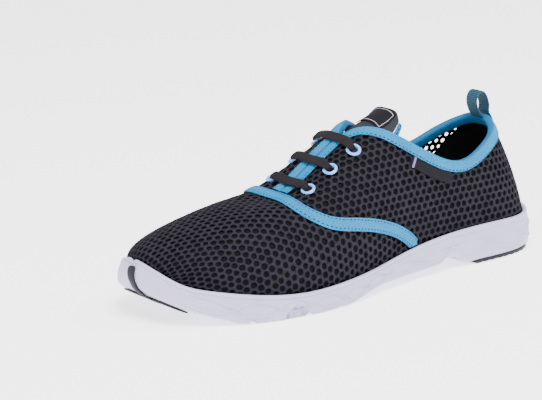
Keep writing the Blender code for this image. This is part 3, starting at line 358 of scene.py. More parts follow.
# camera
view = {"azimuth": 53.34, "elevation": 14.7, "roll": -1.56, "distance": 1.3877, "focal": 2326.2, "wide": 542}
view |= {"target": (0.149, 0.0, 0.050), "slide": (0.0334, 0.0009)}
azimuth, elevation, roll = (math.radians(view[k]) for k in ("azimuth", "elevation", "roll"))
flat = math.cos(elevation)
back = np.array([flat * math.cos(azimuth), flat * math.sin(azimuth), math.sin(elevation)])
right = unit(np.cross([0, 0, 1.0], back))
above = np.cross(back, right)
tilted = np.array([
    math.cos(roll) * right + math.sin(roll) * above,
    -math.sin(roll) * right + math.cos(roll) * above,
    back,
])
camera = bpy.data.objects.new("camera", bpy.data.cameras.new("camera"))
bpy.context.scene.collection.objects.link(camera)
camera.data.lens, camera.data.sensor_width = view["focal"] * 36 / view["wide"], 36
camera.data.clip_start, camera.data.clip_end = 0.05, 30
slide = view["slide"][0] * tilted[0] + view["slide"][1] * tilted[1]
eye = np.array(view["target"]) - slide + view["distance"] * back
turn = Matrix(tilted.T.tolist()).to_4x4()
camera.matrix_world = Matrix.Translation(Vector(eye + origin)) @ turn
bpy.context.scene.camera = camera
print("camera placed")


# one socket of a node tree: sums on it add Math nodes
class Wire:
    def __init__(self, tree, socket=None):
        self.tree, self.socket = tree, socket

    def node(self, kind, settings=None, sockets=None, out=0):
        made = self.tree.nodes.new(kind)
        for key, value in (settings or {}).items():
            if key == "stops":
                for k, (place, colour) in enumerate(value):
                    stop = made.color_ramp.elements[k] if k < 2 else made.color_ramp.elements.new(place)
                    stop.position, stop.color = place, colour
            else:
                setattr(made, key, value)
        for key, value in (sockets or {}).items():
            if isinstance(value, Wire):
                self.tree.links.new(value.socket, made.inputs[key])
            else:
                made.inputs[key].default_value = value
        return Wire(self.tree, made.outputs[out])

    def sum(self, operation, *values):
        return self.node("ShaderNodeMath", {"operation": operation}, dict(enumerate(values)))

    def __add__(self, other):
        return self.sum("ADD", self, other)

    def __sub__(self, other):
        return self.sum("SUBTRACT", self, other)

    def __rsub__(self, other):
        return self.sum("SUBTRACT", other, self)

    def __mul__(self, other):
        return self.sum("MULTIPLY", self, other)

    def __truediv__(self, other):
        return self.sum("DIVIDE", self, other)

    def __pow__(self, other):
        return self.sum("POWER", self, other)

    __radd__, __rmul__ = __add__, __mul__

    def sine(self):
        return self.sum("SINE", self)

    def size(self):
        return self.sum("ABSOLUTE", self)

    def part(self):
        return self.sum("FRACT", self)

    def smallest(self, other):
        return self.sum("MINIMUM", self, other)

    def largest(self, other):
        return self.sum("MAXIMUM", self, other)

    def step(self, low, high):  # smooth step from 0 at low to 1 at high
        ends = {"Value": self, "From Min": low, "From Max": high}
        return self.node("ShaderNodeMapRange", {"interpolation_type": "SMOOTHSTEP"}, ends)

    def output(self, k):
        return Wire(self.tree, self.socket.node.outputs[k])

    def noise(self, place, scale, detail=2.0, roughness=0.5):
        sockets = {"Vector": place, "Scale": scale, "Detail": detail, "Roughness": roughness}
        return self.node("ShaderNodeTexNoise", None, sockets)

    def blend(self, share, first, second):
        return self.node("ShaderNodeMix", {"data_type": "RGBA"}, {0: share, 6: first, 7: second}, 2)

    def bump(self, height, strength, distance):
        sockets = {"Strength": strength, "Distance": distance, "Height": height}
        return self.node("ShaderNodeBump", None, sockets)


# a new material with constants on its shader
def startFinish(name, fixed):
    made = bpy.data.materials.new(name)
    made.use_nodes = True
    shader = made.node_tree.nodes["Principled BSDF"]
    for key, value in fixed.items():
        shader.inputs[key].default_value = value
    return made, Wire(made.node_tree), shader


# links wires to the shader's sockets by plain names
def feed(wires, shader, **links):
    names = {"colour": "Base Color", "roughness": "Roughness", "normal": "Normal"}
    for key, wire in links.items():
        wires.tree.links.new(wire.socket, shader.inputs[names[key]])


# a colour with full opacity
def rgb(red, green, blue):
    return (red, green, blue, 1.0)


# u and v of a piece's own map, in millimetres
def mapSizes(wires):
    place = wires.node("ShaderNodeUVMap", {"uv_map": "UVMap"})
    parts = wires.node("ShaderNodeSeparateXYZ", None, {0: place})
    return place, parts * 100, parts.output(1) * 100


# the darkest colour is a painted shade for deep in the net's holes
yarn = {
    "dark": rgb(0.0035, 0.003, 0.0055), "light": rgb(0.030, 0.0265, 0.044),
    "holeShade": rgb(0.0008, 0.0008, 0.0012), "loop": 0.62, "rough": 0.75, "shine": 0.16,
}


# knit: sin(a) sin(b) of the two diagonals makes the loops, noise the fuzz and uneven shade; deep in a
# hole a painted shade darkens it
def yarnFinish():
    fixed = {"Roughness": yarn["rough"], "Specular IOR Level": yarn["shine"]}
    made, wires, shader = startFinish("meshYarn", fixed)
    place, u, v = mapSizes(wires)
    depth = wires.node("ShaderNodeAttribute", {"attribute_name": "depth"}, None, 2)
    turn = 2 * math.pi / yarn["loop"]
    loops = ((u + v) * (turn * 0.7)).sine() * ((u - v) * (turn * 0.7)).sine()
    fuzz = wires.noise(place, 260.0, 3.0, 0.65)
    shade = wires.noise(place, 42.0, 2.0)
    height = loops * 0.35 + fuzz
    mix = (loops * 0.22 + fuzz * 1.1 + shade * 0.5 - 0.42).step(0.0, 0.95)
    colour = wires.blend(mix, yarn["dark"], yarn["light"])
    # painted shade: deeper in a hole the colour goes to the darkest one
    colour = wires.blend(depth.step(0.08, 0.7), colour, yarn["holeShade"])
    feed(wires, shader, colour=colour, normal=wires.bump(height, 0.7, 0.0003))
    return made


# cloth: a plain weave, the larger of two ridged waves, with uneven threads
def clothFinish(name, dark, light, thread, rough, strength=0.5):
    made, wires, shader = startFinish(name, {"Roughness": rough, "Specular IOR Level": 0.15})
    place, u, v = mapSizes(wires)
    turn = math.pi / thread
    warp, weft = (u * turn).sine().size(), (v * turn).sine().size()
    fuzz = wires.noise(place, 300.0, 2.0, 0.6)
    shade = wires.noise(place, 9.0, 2.0)
    weave = warp.largest(weft)
    mix = (weave * 0.55 + fuzz * 0.55 + shade * 0.4 - 0.42).step(0.0, 0.9)
    normal = wires.bump(weave + fuzz * 0.6, strength, 0.0002)
    feed(wires, shader, colour=wires.blend(mix, dark, light), normal=normal)
    return made


# the hole colour is a painted shade in the needle holes; inside is how strongly a painted shade darkens the
# binding's inner side
tapeLook = {
    "light": rgb(0.005, 0.28, 0.55), "dark": rgb(0.001, 0.065, 0.19), "hole": rgb(0.001, 0.010, 0.045),
    "loop": 0.95, "stitch": 2.6, "inside": 0.62,
}


# knitted tape: slanting loops from two sines of u and v, and needle holes every stitch along given
# rows, darkened by a painted shade; past a width a painted shade darkens its inner side
def tapeFinish(name, rows, paintedShadeFrom=None):
    made, wires, shader = startFinish(name, {"Roughness": 0.65, "Specular IOR Level": 0.2})
    place, u, v = mapSizes(wires)
    turn = 2 * math.pi / tapeLook["loop"]
    slant = ((u + v * 0.6) * turn).sine() * ((v * 1.3 - u * 0.35) * turn).sine()
    fuzz = wires.noise(place, 190.0, 3.0, 0.7)
    shade = wires.noise(place, 7.0, 1.0)
    holes = None
    for row in rows:
        du = ((u / tapeLook["stitch"]).part() - 0.5) * tapeLook["stitch"]
        dv = v - row
        near = (du * du * 0.30 + dv * dv) ** 0.5
        hole = 1 - near.step(0.24, 0.50)
        holes = hole if holes is None else holes.largest(hole)
    mix = (slant * 0.22 + fuzz * 4.0 + shade * 0.3 - 1.6).step(0.0, 1.0)
    colour = wires.blend(mix, tapeLook["dark"], tapeLook["light"])
    # painted shade on the inner side, past the given width across the tape
    if paintedShadeFrom:
        share = v.step(paintedShadeFrom, paintedShadeFrom + 1.5) * tapeLook["inside"]
        colour = wires.blend(share, colour, tapeLook["dark"])
    height = slant * 0.4 + fuzz * 0.9
    if holes is not None:
        # painted shade in the needle holes
        colour = wires.blend(holes * 0.9, colour, tapeLook["hole"])
        height = height - holes * 1.5
    feed(wires, shader, colour=colour, normal=wires.bump(height, 0.7, 0.0004))
    return made


# ribbed webbing: one sine across the strap for each rib
def webbingFinish():
    made, wires, shader = startFinish("webbing", {"Roughness": 0.6, "Specular IOR Level": 0.3})
    place, u, v = mapSizes(wires)
    rib = (u * (2 * math.pi / loop["rib"])).sine()
    thread = (v * (2 * math.pi / 0.5)).sine()
    fuzz = wires.noise(place, 300.0, 2.0, 0.6)
    mix = (rib * 0.3 + fuzz * 0.8 + thread * 0.1 + 0.05).step(0.0, 0.9)
    colour = wires.blend(mix, rgb(0.001, 0.018, 0.036), rgb(0.004, 0.068, 0.120))
    feed(wires, shader, colour=colour, normal=wires.bump(thread * 0.4 + fuzz, 0.5, 0.0002))
    return made


# braided lace: diagonal strands, the product of two slanting sines
def laceFinish():
    made, wires, shader = startFinish("lace", {"Roughness": 0.8, "Specular IOR Level": 0.15})
    place, u, v = mapSizes(wires)
    turn = 2 * math.pi / 1.5
    braid = ((u + v) * turn).sine() * ((u - v) * turn).sine()
    fuzz = wires.noise(place, 260.0, 3.0, 0.65)
    mix = (braid * 0.5 + fuzz * 0.9 - 0.1).step(0.0, 0.9)
    colour = wires.blend(mix, rgb(0.002, 0.0018, 0.0025), rgb(0.034, 0.028, 0.034))
    feed(wires, shader, colour=colour, normal=wires.bump(braid * 0.8 + fuzz * 0.8, 0.9, 0.0005))
    return made


# the third colour is a painted shade for the lowest few millimetres of the sole
foamLook = {"base": rgb(0.47, 0.44, 0.63), "dim": rgb(0.41, 0.385, 0.56), "lowShade": rgb(0.33, 0.31, 0.42)}


# moulded foam: fine skin pits, broad cloudiness, and a painted shade, greyer low down where it meets the
# ground
def foamFinish():
    made, wires, shader = startFinish("foam", {"Roughness": 0.5, "Subsurface Weight": 0.0})
    place = wires.node("ShaderNodeTexCoord", None, None, 3)
    parts = wires.node("ShaderNodeSeparateXYZ", None, {0: place})
    height = parts.output(2)
    cloud, pits = wires.noise(place, 28.0, 3.0), wires.noise(place, 1500.0, 2.0, 0.6)
    colour = wires.blend((cloud * 1.4 - 0.3).step(0.0, 1.0), foamLook["dim"], foamLook["base"])
    # painted shade over the lowest 5 mm of the foam
    low = (1 - height.step(0.0, 0.005)) * 0.45
    colour = wires.blend(low, colour, foamLook["lowShade"])
    feed(wires, shader, colour=colour, roughness=cloud * 0.12 + 0.46, normal=wires.bump(pits, 0.25, 0.0002))
    return made


# rubber: cloudy shade and fine grain from two noises
def rubberFinish():
    made, wires, shader = startFinish("rubber", {"Roughness": 0.5, "Specular IOR Level": 0.2})
    place = wires.node("ShaderNodeTexCoord", None, None, 3)
    cloud, grain = wires.noise(place, 60.0, 3.0), wires.noise(place, 1800.0, 2.0, 0.6)
    colour = wires.blend(cloud, rgb(0.006, 0.006, 0.009), rgb(0.017, 0.017, 0.022))
    feed(wires, shader, colour=colour, roughness=cloud * 0.2 + 0.42, normal=wires.bump(grain, 0.3, 0.0002))
    return made


# moulded plastic under a thin coat, with a cloudy shade from one noise
def plasticFinish():
    fixed = {"Roughness": 0.3, "Coat Weight": 0.4, "Coat Roughness": 0.2}
    made, wires, shader = startFinish("eyeletPlastic", fixed)
    place = wires.node("ShaderNodeTexCoord", None, None, 3)
    cloud = wires.noise(place, 220.0, 2.0)
    colour = wires.blend(cloud, rgb(0.11, 0.32, 0.78), rgb(0.18, 0.42, 0.88))
    feed(wires, shader, colour=colour, roughness=cloud * 0.15 + 0.22)
    return made


labelLook = {
    "face": rgb(0.004, 0.004, 0.006), "ribs": rgb(0.010, 0.0095, 0.014), "line": rgb(0.50, 0.48, 0.56),
    "stripe": rgb(0.24, 0.19, 0.42), "border": 0.35,
}


# satin label: fine cross ribs, and a thin pale line where the distance to the edge of the map is in a band
def labelFinish(name, width, height, inset, stripe=0.0):
    made, wires, shader = startFinish(name, {"Roughness": 0.6, "Specular IOR Level": 0.1})
    place, u, v = mapSizes(wires)
    rib = (v * (2 * math.pi / 0.36)).sine()
    fuzz = wires.noise(place, 280.0, 2.0)
    shade = (rib * 0.3 + fuzz * 0.8 - 0.1).step(0.0, 1.0)
    colour = wires.blend(shade, labelLook["face"], labelLook["ribs"])
    if inset:
        edge = u.smallest(width - u).smallest(v.smallest(height - v))
        line = (1 - ((edge - inset).size()).step(labelLook["border"] * 0.35, labelLook["border"] * 0.6))
        colour = wires.blend(line * 0.85, colour, labelLook["line"])
    if stripe:
        band = (1 - (u - stripe).size().step(0.65, 0.9)) * ((v * (2 * math.pi / 0.8)).sine() * 0.3 + 0.7)
        colour = wires.blend(band, colour, labelLook["stripe"])
    feed(wires, shader, colour=colour, normal=wires.bump(rib * 0.4 + fuzz * 0.6, 0.3, 0.0002))
    return made


# grid of points to quads: each corner index is row * columns + column, wrapped where the grid closes
def gridFaces(rows, columns, roundRows=False, roundColumns=False):
    down, over = np.arange(rows - (not roundRows)), np.arange(columns - (not roundColumns))
    i, j = np.meshgrid(down, over, indexing="ij")
    corners = [(i + a) % rows * columns + (j + b) % columns for a, b in ((0, 0), (1, 0), (1, 1), (0, 1))]
    wide = columns + roundColumns
    places = [(i + a) * wide + (j + b) for a, b in ((0, 0), (1, 0), (1, 1), (0, 1))]
    return np.stack(corners, -1).reshape(-1, 4), np.stack(places, -1).reshape(-1, 4)


# grids of points and map places become one welded mesh with its faces outwards
def buildPiece(name, grids, finish, replaces=(), sharp=50, weld=1e-5, caps=()):
    points, faces, maps, base = [], [], [], 0
    for grid in grids:
        shape, place = grid[0], grid[1]
        rows, columns = shape.shape[:2]
        flags = grid[2] if len(grid) > 2 else (False, False)
        corner, mapped = gridFaces(rows, columns, *flags)
        points.append(shape.reshape(-1, 3))
        faces.append(corner + base)
        maps.append(place.reshape(-1, 2)[mapped].reshape(-1, 2))
        base += rows * columns
    mesh = bpy.data.meshes.new(name)
    mesh.from_pydata(np.concatenate(points) + origin, [], np.concatenate(faces))
    layer = mesh.uv_layers.new(name="UVMap")
    layer.data.foreach_set("uv", np.concatenate(maps).astype(np.float32).ravel())
    shaped = bmesh.new()
    shaped.from_mesh(mesh)
    bmesh.ops.remove_doubles(shaped, verts=shaped.verts, dist=weld)
    bmesh.ops.dissolve_degenerate(shaped, edges=shaped.edges, dist=weld / 4)
    holes = [e for e in shaped.edges if e.is_boundary]
    if holes and "fill" in caps:
        bmesh.ops.holes_fill(shaped, edges=holes, sides=0)
    bmesh.ops.recalc_face_normals(shaped, faces=shaped.faces)
    shaped.to_mesh(mesh)
    shaped.free()
    return showPiece(name, mesh, finish, replaces, sharp)


# shades a mesh, gives it its finish and hangs it on the part
def showPiece(name, mesh, finish, replaces=(), sharp=50):
    mesh.shade_smooth()
    mesh.set_sharp_from_angle(angle=math.radians(sharp))
    mesh.materials.append(finish)
    made = bpy.data.objects.new(name, mesh)
    bpy.context.scene.collection.objects.link(made)
    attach(made, "root")
    if replaces:
        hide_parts(*replaces)
    mesh.calc_loop_triangles()
    print(name, len(mesh.loop_triangles), "triangles")
    return made


# two parallel grids joined round their edges make a closed sheet; the map is the same on both faces
def sheetGrids(top, bottom, place):
    ends = [(np.stack([top[k], bottom[k]]), np.stack([place[k], place[k]])) for k in (0, -1)]
    sides = [(np.stack([top[:, k], bottom[:, k]]), np.stack([place[:, k], place[:, k]])) for k in (0, -1)]
    return [(top, place), (bottom, place), *ends, *sides]


# length run along the first axis of a grid of points, in the map's unit of 100 mm
def lengthOf(path):
    steps = np.linalg.norm(np.diff(path, axis=0), axis=-1)
    return np.concatenate([[0], np.cumsum(steps)]) * 10


# closed rings carried along a path; the map's u runs along the path and v round the ring
def sweptPiece(name, rings, finish, replaces=(), sharp=50, closed=False):
    rows, columns = rings.shape[:2]
    run = lengthOf(rings.mean(1))
    girth = lengthOf(np.concatenate([rings[rows // 2], rings[rows // 2][:1]]))
    if closed:
        run = np.append(run, run[-1] + 0.01)
    place = np.stack(np.meshgrid(run, girth, indexing="ij"), -1)
    grids = [(rings, place, (closed, True))]
    return buildPiece(name, grids, finish, replaces, sharp, caps=() if closed else ("fill",))


# upper: straight rows off a base line give a nearly even map of the wall; the last four are row counts
net = {
    "pitch": 0.0049, "hole": 0.00164, "thick": 0.0014, "step": 0.0015, "level": 0.042, "collarHide": 0.0034,
    "rimHide": 0.0024, "uneven": 0.12, "stray": 0.00022, "up": 46, "down": 36, "forwards": 56, "back": 90,
}


# even steps of length along a path, and the other values read off there
def resample(path, spacing, *others):
    run = np.concatenate([[0], np.cumsum(np.linalg.norm(np.diff(path, axis=0), axis=-1))])
    even = np.linspace(0, run[-1], max(int(run[-1] / spacing), 2) + 1)
    return even, [np.interp(even, run, other) for other in others]


# marches straight lines over the wall: at each step the heading is pressed back into the surface; a line
# that has left the wall's foot goes on straight
def marchMap(station, up, heading, count, step):
    live, past = np.ones(station.shape, bool), np.zeros(station.shape)
    point, normal, kept = wallPoint(station, up), wallNormal(station, up), []
    for _ in range(count + 1):
        heading = unit(heading - normal * np.sum(normal * heading, -1)[:, None])
        kept.append((station, up, past, point, normal))
        nextStation, nextUp = walk(station, up, heading, np.full(station.shape, step), steps=1)
        live = live & (nextUp > 0.004) & (nextUp < 1.996)
        station, up = np.where(live, nextStation, station), np.where(live, nextUp, up)
        past = np.where(live, 0, past + step)
        point = np.where(live[:, None], wallPoint(station, up), point + heading * step)
        normal = np.where(live[:, None], wallNormal(station, up), normal)
    return [np.stack(each, 1) for each in zip(*kept)]


# bilinear lookup in the marched arrays
def lookUp(maps, s, v, start, step):
    rows, columns = maps[0].shape[:2]
    fs = np.clip((s - start[0]) / step[0], 0, rows - 1.001)
    fv = np.clip((v - start[1]) / step[1], 0, columns - 1.001)
    i, j = fs.astype(int), fv.astype(int)
    a, b = fs - i, fv - j
    found = []
    for kept in maps:
        shape = a.shape + (1,) * (kept.ndim - 2)
        p, q = a.reshape(shape), b.reshape(shape)
        low = kept[i, j] * (1 - q) + kept[i, j + 1] * q
        high = kept[i + 1, j] * (1 - q) + kept[i + 1, j + 1] * q
        found.append(low * (1 - p) + high * p)
    return found


# distance over the surface to the zero line of a field: value / |gradient| by the metric
def distanceTo(field, station, up):
    small = 1e-4
    value = field(station, up)
    gs = (field(station + small, up) - field(station - small, up)) / (2 * small)
    gu = (field(station, up + small) - field(station, up - small)) / (2 * small)
    along, rise = slopesOf(station, up)
    aa, ar, rr = (np.sum(p * q, -1) for p, q in ((along, along), (along, rise), (rise, rise)))
    size = (rr * gs * gs - 2 * ar * gs * gu + aa * gu * gu) / np.maximum(aa * rr - ar * ar, 1e-18)
    return value / np.sqrt(np.maximum(size, 1e-12))


# above 0 in front of the tape's middle line
def tapeField(station, up):
    return alongOf(station) - tapeAlongOf(np.clip(up, 0.04, 1))


# above 0 below the collar's edge
def edgeField(station, up):
    return toplineUp(station) - up


# above 0 over the rim
def rimField(station, up):
    return up - rimUp(station)


# net of hexagonal cells: each a ring of 12 from its border over a rounded strand down into its hole
def netPiece(name, marched, start, finish, front, replaces=()):
    pitch, step = net["pitch"], (net["step"], net["step"])
    station, up, past, points, normals = marched
    crossed = (up > 1).astype(float)
    station, up = np.where(up > 1, -station, station), np.clip(np.where(up > 1, 2 - up, up), 1e-3, 1 - 1e-3)
    station = np.where(np.abs(station) > 1, -np.sign(station) * (2 - np.abs(station)), station)
    fields = [distanceTo(rimField, station, up) - past]
    fields += [*(distanceTo(field, station, up) for field in (tapeField, edgeField)), crossed]
    rows, columns = station.shape
    spanS, spanV = (rows - 1) * step[0], (columns - 1) * step[1]
    highRow, span = int(spanV / (pitch * 0.866)) + 2, int(spanS / pitch) + 2
    j, i = np.meshgrid(np.arange(-1, highRow), np.arange(-highRow // 2 - 1, span), indexing="ij")
    s = (start[0] + pitch * (i + j / 2)).ravel()
    v = (start[1] + pitch * math.sqrt(3) / 2 * j).ravel()
    i, j = i.ravel(), j.ravel()
    known = (s > start[0]) & (s < start[0] + spanS) & (v > start[1]) & (v < start[1] + spanV)
    i, j, s, v = i[known], j[known], s[known], v[known]
    fromRim, fromTape, fromEdge, over = lookUp(fields, s, v, start, step)
    behind = (fromTape < 0) & (fromEdge > net["collarHide"]) & (over < 0.01)
    keep = (fromRim > -net["rimHide"]) & ((fromTape > 0) if front else behind)
    i, j, s, v = i[keep], j[keep], s[keep], v[keep]
    count = len(s)
    angle = np.arange(12) * math.pi / 6
    border = np.where(np.arange(12) % 2 == 0, pitch / 2, pitch / math.sqrt(3))
    rings = []
    drawn = np.random.default_rng(11)
    size = net["hole"] * (1 + net["uneven"] * drawn.uniform(-1, 1, (count, 1)))
    size = size * (1 + net["uneven"] * 0.5 * drawn.uniform(-1, 1, (count, 12)))
    strayS, strayV = net["stray"] * drawn.uniform(-1, 1, (2, count, 1))
    for radius, lift, stray in (
        (np.broadcast_to(border, (count, 12)), 0.0, 0),
        ((size + border) * 0.52, -0.12, 0.6),
        (size * 1.04, -0.45, 1),
        (size * 0.84, -1.0, 1),
        (np.broadcast_to(border, (count, 12)), -1.0, 0),
    ):
        ps, pv = s[:, None] + radius * np.cos(angle), v[:, None] + radius * np.sin(angle)
        rings.append((ps + strayS * stray, pv + strayV * stray, lift))
    keyX = np.round((rings[0][0] - start[0]) / (pitch / 4)).astype(int)
    keyY = np.round((rings[0][1] - start[1]) / (pitch * math.sqrt(3) / 12)).astype(int)
    _, first, shared = np.unique(keyX.ravel() * 100000 + keyY.ravel(), return_index=True, return_inverse=True)
    shared = shared.reshape(count, 12)
    borders = len(first)
    middle = np.arange(count * 12).reshape(count, 12)
    index = [shared, borders + middle, borders + count * 12 + middle, borders + count * 24 + middle]
    index.append(borders + count * 36 + shared)
    flatS = [rings[0][0].ravel()[first], *(r[0].ravel() for r in rings[1:4]), rings[4][0].ravel()[first]]
    flatV = [rings[0][1].ravel()[first], *(r[1].ravel() for r in rings[1:4]), rings[4][1].ravel()[first]]
    lifts = np.concatenate([np.full(len(a), r[2]) for a, r in zip(flatS, rings)])
    allS, allV = np.concatenate(flatS), np.concatenate(flatV)
    place, normal = lookUp([points, normals], allS, allV, start, step)
    points = place + unit(normal) * (lifts * net["thick"])[:, None]
    points = clearEyelets(points)
    faces = []
    for low, high in zip(index, index[1:]):
        faces.append(np.stack([low, np.roll(low, -1, 1), np.roll(high, -1, 1), high], -1).reshape(-1, 4))
    pairs = np.stack([shared, np.roll(shared, -1, 1)], -1).reshape(-1, 2)
    ordered = np.sort(pairs, 1)
    _, where, used = np.unique(ordered[:, 0] * 1000003 + ordered[:, 1], return_index=True, return_counts=True)
    rim = pairs[where[used == 1]]
    deep = borders + count * 36
    faces.append(np.stack([rim[:, 0], rim[:, 1], rim[:, 1] + deep, rim[:, 0] + deep], -1))
    faces = np.concatenate(faces)
    mesh = bpy.data.meshes.new(name)
    mesh.from_pydata(points + origin, [], faces)
    layer = mesh.uv_layers.new(name="UVMap")
    uv = np.stack([allS, allV], -1)[faces.ravel()] * 10
    layer.data.foreach_set("uv", uv.astype(np.float32).ravel())
    # the depth, 0 on the strands to 1 at the bottom of a hole, drives the yarn's painted hole shade
    mesh.attributes.new("depth", "FLOAT", "POINT").data.foreach_set("value", -lifts)
    shaped = bmesh.new()
    shaped.from_mesh(mesh)
    bmesh.ops.recalc_face_normals(shaped, faces=shaped.faces)
    shaped.to_mesh(mesh)
    shaped.free()
    return showPiece(name, mesh, finish, replaces, 180)


eyelets = {
    "rows": (0.502, 0.565, 0.624), "offset": 0.0172, "radius": 0.0044, "hole": 0.0026, "band": 0.0010,
    "seat": 0.0006, "deep": 0.0020,
}
eyeletPlaces = []
for row in eyelets["rows"]:
    for side in (1, -1):
        station = np.array(side * float(stationOf(row)))
        up = upNearRidge(station, eyelets["offset"])
        eyeletPlaces.append((row, side, station, up, wallPoint(station, up), wallNormal(station, up)))


# pushes points out of each eyelet's barrel, square to its axis
def clearEyelets(points):
    keep = eyelets["hole"] + eyelets["band"] * 0.75
    for *_, centre, axis in eyeletPlaces:
        away = points - centre
        lift = away @ axis
        flat = away - lift[:, None] * axis
        far = np.linalg.norm(flat, axis=1)
        close = (far < keep) & (np.abs(lift) < 0.006)
        points = np.where(close[:, None], centre + lift[:, None] * axis + unit(flat) * keep, points)
    return points


# marches both ways off a base line, square to it; the first way is the one that the world axis points
def twoWayMap(station, up, axis, forth, rear):
    heading = np.cross(wallNormal(station, up), unit(np.gradient(wallPoint(station, up), axis=0)))
    heading = heading * np.sign(heading[:, axis])[:, None]
    ahead = marchMap(station, up, heading, forth, net["step"])
    behind = marchMap(station, up, -heading, rear, net["step"])
    return [np.concatenate([b[:, :0:-1], a], 1) for a, b in zip(ahead, behind)]


# the quarters are marched up and down from a level line round the heel
yarnLook = yarnFinish()
near = float(stationOf(0.70))
stations = np.linspace(-near, near, 1601)
base = upAtHeight(stations, net["level"])
_, (stationStart, upStart) = resample(wallPoint(stations, base), net["step"], stations, base)
quarterMap = twoWayMap(stationStart, upStart, 2, net["up"], net["down"])
half = (len(stationStart) - 1) / 2 * net["step"]
netPiece("quarter_mesh", quarterMap, (-half, -net["down"] * net["step"]), yarnLook, False, ("upper",))

# the vamp is marched forwards and backwards from a line over the ball, from the inner to the outer rim
ball = float(stationOf(0.80))
ups = np.linspace(0.02, 1.98, 1401)
across, (upStart,) = resample(wallPoint(np.full(ups.shape, ball), ups), net["step"], ups)
vampMap = twoWayMap(np.full(upStart.shape, ball), upStart, 0, net["forwards"], net["back"])
ridgeAt = float(np.interp(1.0, upStart, across))
netPiece("vamp_mesh", vampMap, (-ridgeAt, -net["back"] * net["step"]), yarnLook, True)
print("mesh laid")

# lining: a thin dark sheet behind the net, lower on the inner side of the collar, where the net lets
# light through
lining = {"depth": 0.00145, "thick": 0.0003, "hide": 0.0040, "window": 0.0135}


# the lining's upper edge: the collar's, less a hidden strip and the window's height
def liningTop(station):
    along = alongOf(station)
    window = smooth(0.03, 0.16, along) * (1 - smooth(0.38, 0.46, along)) * (station < 0)
    edge = np.minimum(toplineUp(station), 0.9999)
    rise = np.linalg.norm(slopesOf(station, edge)[1], axis=-1)
    drop = (lining["hide"] + lining["window"] * window) / np.maximum(rise, 1e-6)
    return np.where(along >= last["throatBase"], 1.0, edge - drop)


grids = []
for side in (1, -1):
    station = side * np.linspace(0, 1, 150)
    low = rimUp(station) * 0.8
    t = np.linspace(0, 1, 26)
    up = low[:, None] + (liningTop(station) - low)[:, None] * t
    station = np.broadcast_to(station[:, None], up.shape)
    place = np.stack([lengthOf(wallPoint(station[:, 10], up[:, 10]))[:, None] + 0 * up, up * 1.2], -1)
    front = wallOffset(station, up, -lining["depth"])
    rear = wallOffset(station, up, -lining["depth"] - lining["thick"])
    grids += [(front, place), (rear, place)]
    ends = np.abs(station[:, 0]) <= float(stationOf(last["throatBase"]))
    grids.append((np.stack([front[:, 0], rear[:, 0]]), np.stack([place[:, 0]] * 2)))
    grids.append((np.stack([front[ends, -1], rear[ends, -1]]), np.stack([place[ends, -1]] * 2)))
dark = clothFinish("liningCloth", rgb(0.0006, 0.0006, 0.0009), rgb(0.0030, 0.0030, 0.0042), 0.5, 0.85)
buildPiece("lining", grids, dark, weld=8e-5)

# tapes
tape = {"width": 0.0080, "thick": 0.0008, "lift": 0.00039, "stitchIn": 1.35}
# fold is where the painted shade on the binding's inner side starts, in millimetres across
binding = {
    "collar": 0.0060, "throat": 0.0056, "inner": 0.0052, "thick": 0.0009, "lift": 0.00045,
    "crown": 0.00035, "stitchIn": 1.6, "fold": 7.0,
}


# headings in the wall, square to the edge and away from it
def edgeHeadings(station, up, passes):
    place = wallPoint(station, up)
    normal = wallNormal(station, up)
    heading = np.cross(normal, unit(np.gradient(place, axis=0)))
    below = wallPoint(station, up * 0.97) - place
    heading = heading * np.sign(np.sum(heading * below, -1))[:, None]
    for _ in range(passes):
        padded = np.concatenate([heading[:1], heading, heading[-1:]])
        heading = unit(padded[:-2] + 2 * padded[1:-1] + padded[2:])
    return heading, normal


# off the edge by reach within the wall, or straight on past it, then out by offset
def fromEdge(station, up, heading, normal, reach, offset):
    if np.max(reach) <= 0:
        return wallPoint(station, up) + heading * np.reshape(reach, (-1, 1)) + normal * offset
    reach = np.broadcast_to(np.asarray(reach, float), station.shape)
    return wallOffset(*walk(station, up, heading, reach), offset)


end = last["throatBase"] - (last["throatEnd"] + binding["thick"] + last["gap"]) / lastLength
fine = np.linspace(float(stationOf(end)), 0, 150)
station = np.concatenate([fine, -fine[::-1][1:]])
up = toplineUp(station)
heading, normal = edgeHeadings(station, up, 30)
along = alongOf(station)
front = np.clip((along - 0.40) / 0.08, 0, 1)
outer = binding["collar"] + (binding["throat"] - binding["collar"]) * front
inner = np.minimum(outer, binding["inner"])
low, thick, gap = binding["lift"], binding["thick"], last["gap"]
inside = -(last["wall"] + 2 * gap)
zero = np.zeros(station.shape)
puff = binding["crown"] * (0.75 + 0.25 * np.sin(np.arange(len(station)) * 0.9))
section = [(outer - 0.0001, low), (outer, low + thick * 0.45)]
for share in (0.95, 0.86, 0.72, 0.56, 0.38, 0.2):
    section.append((outer * share, low + thick + puff * (1 - (2 * share - 1) ** 4) - 0.0001))
section += [(zero + 0.0003, low + thick), (zero - gap - thick * 0.3, low + thick * 0.85)]
section += [(zero - gap - thick * 0.85, low * 0.2), (zero - gap - thick, inside * 0.5)]
section += [(zero - gap - thick * 0.85, inside * 0.95), (zero - gap - thick * 0.3, inside - thick * 0.85)]
for share in (0.1, 0.35, 0.62, 0.86):
    section.append((inner * share, inside - thick - puff * 0.5 * (1 - (2 * share - 1) ** 4)))
section += [(inner, inside - thick * 0.5), (inner, inside), (inner * 0.5, inside), (zero - gap, inside)]
section += [(zero - gap, low), (outer * 0.5, low)]
rings = np.stack([fromEdge(station, up, heading, normal, r, o) for r, o in section], 1)
# past the fold, on the binding's inner side, the tape is darkened by a painted shade
collarTape = tapeFinish("bindingTape", (binding["stitchIn"],), binding["fold"])
sweptPiece("edge_tape", rings, collarTape, ("edge_binding",), 60)

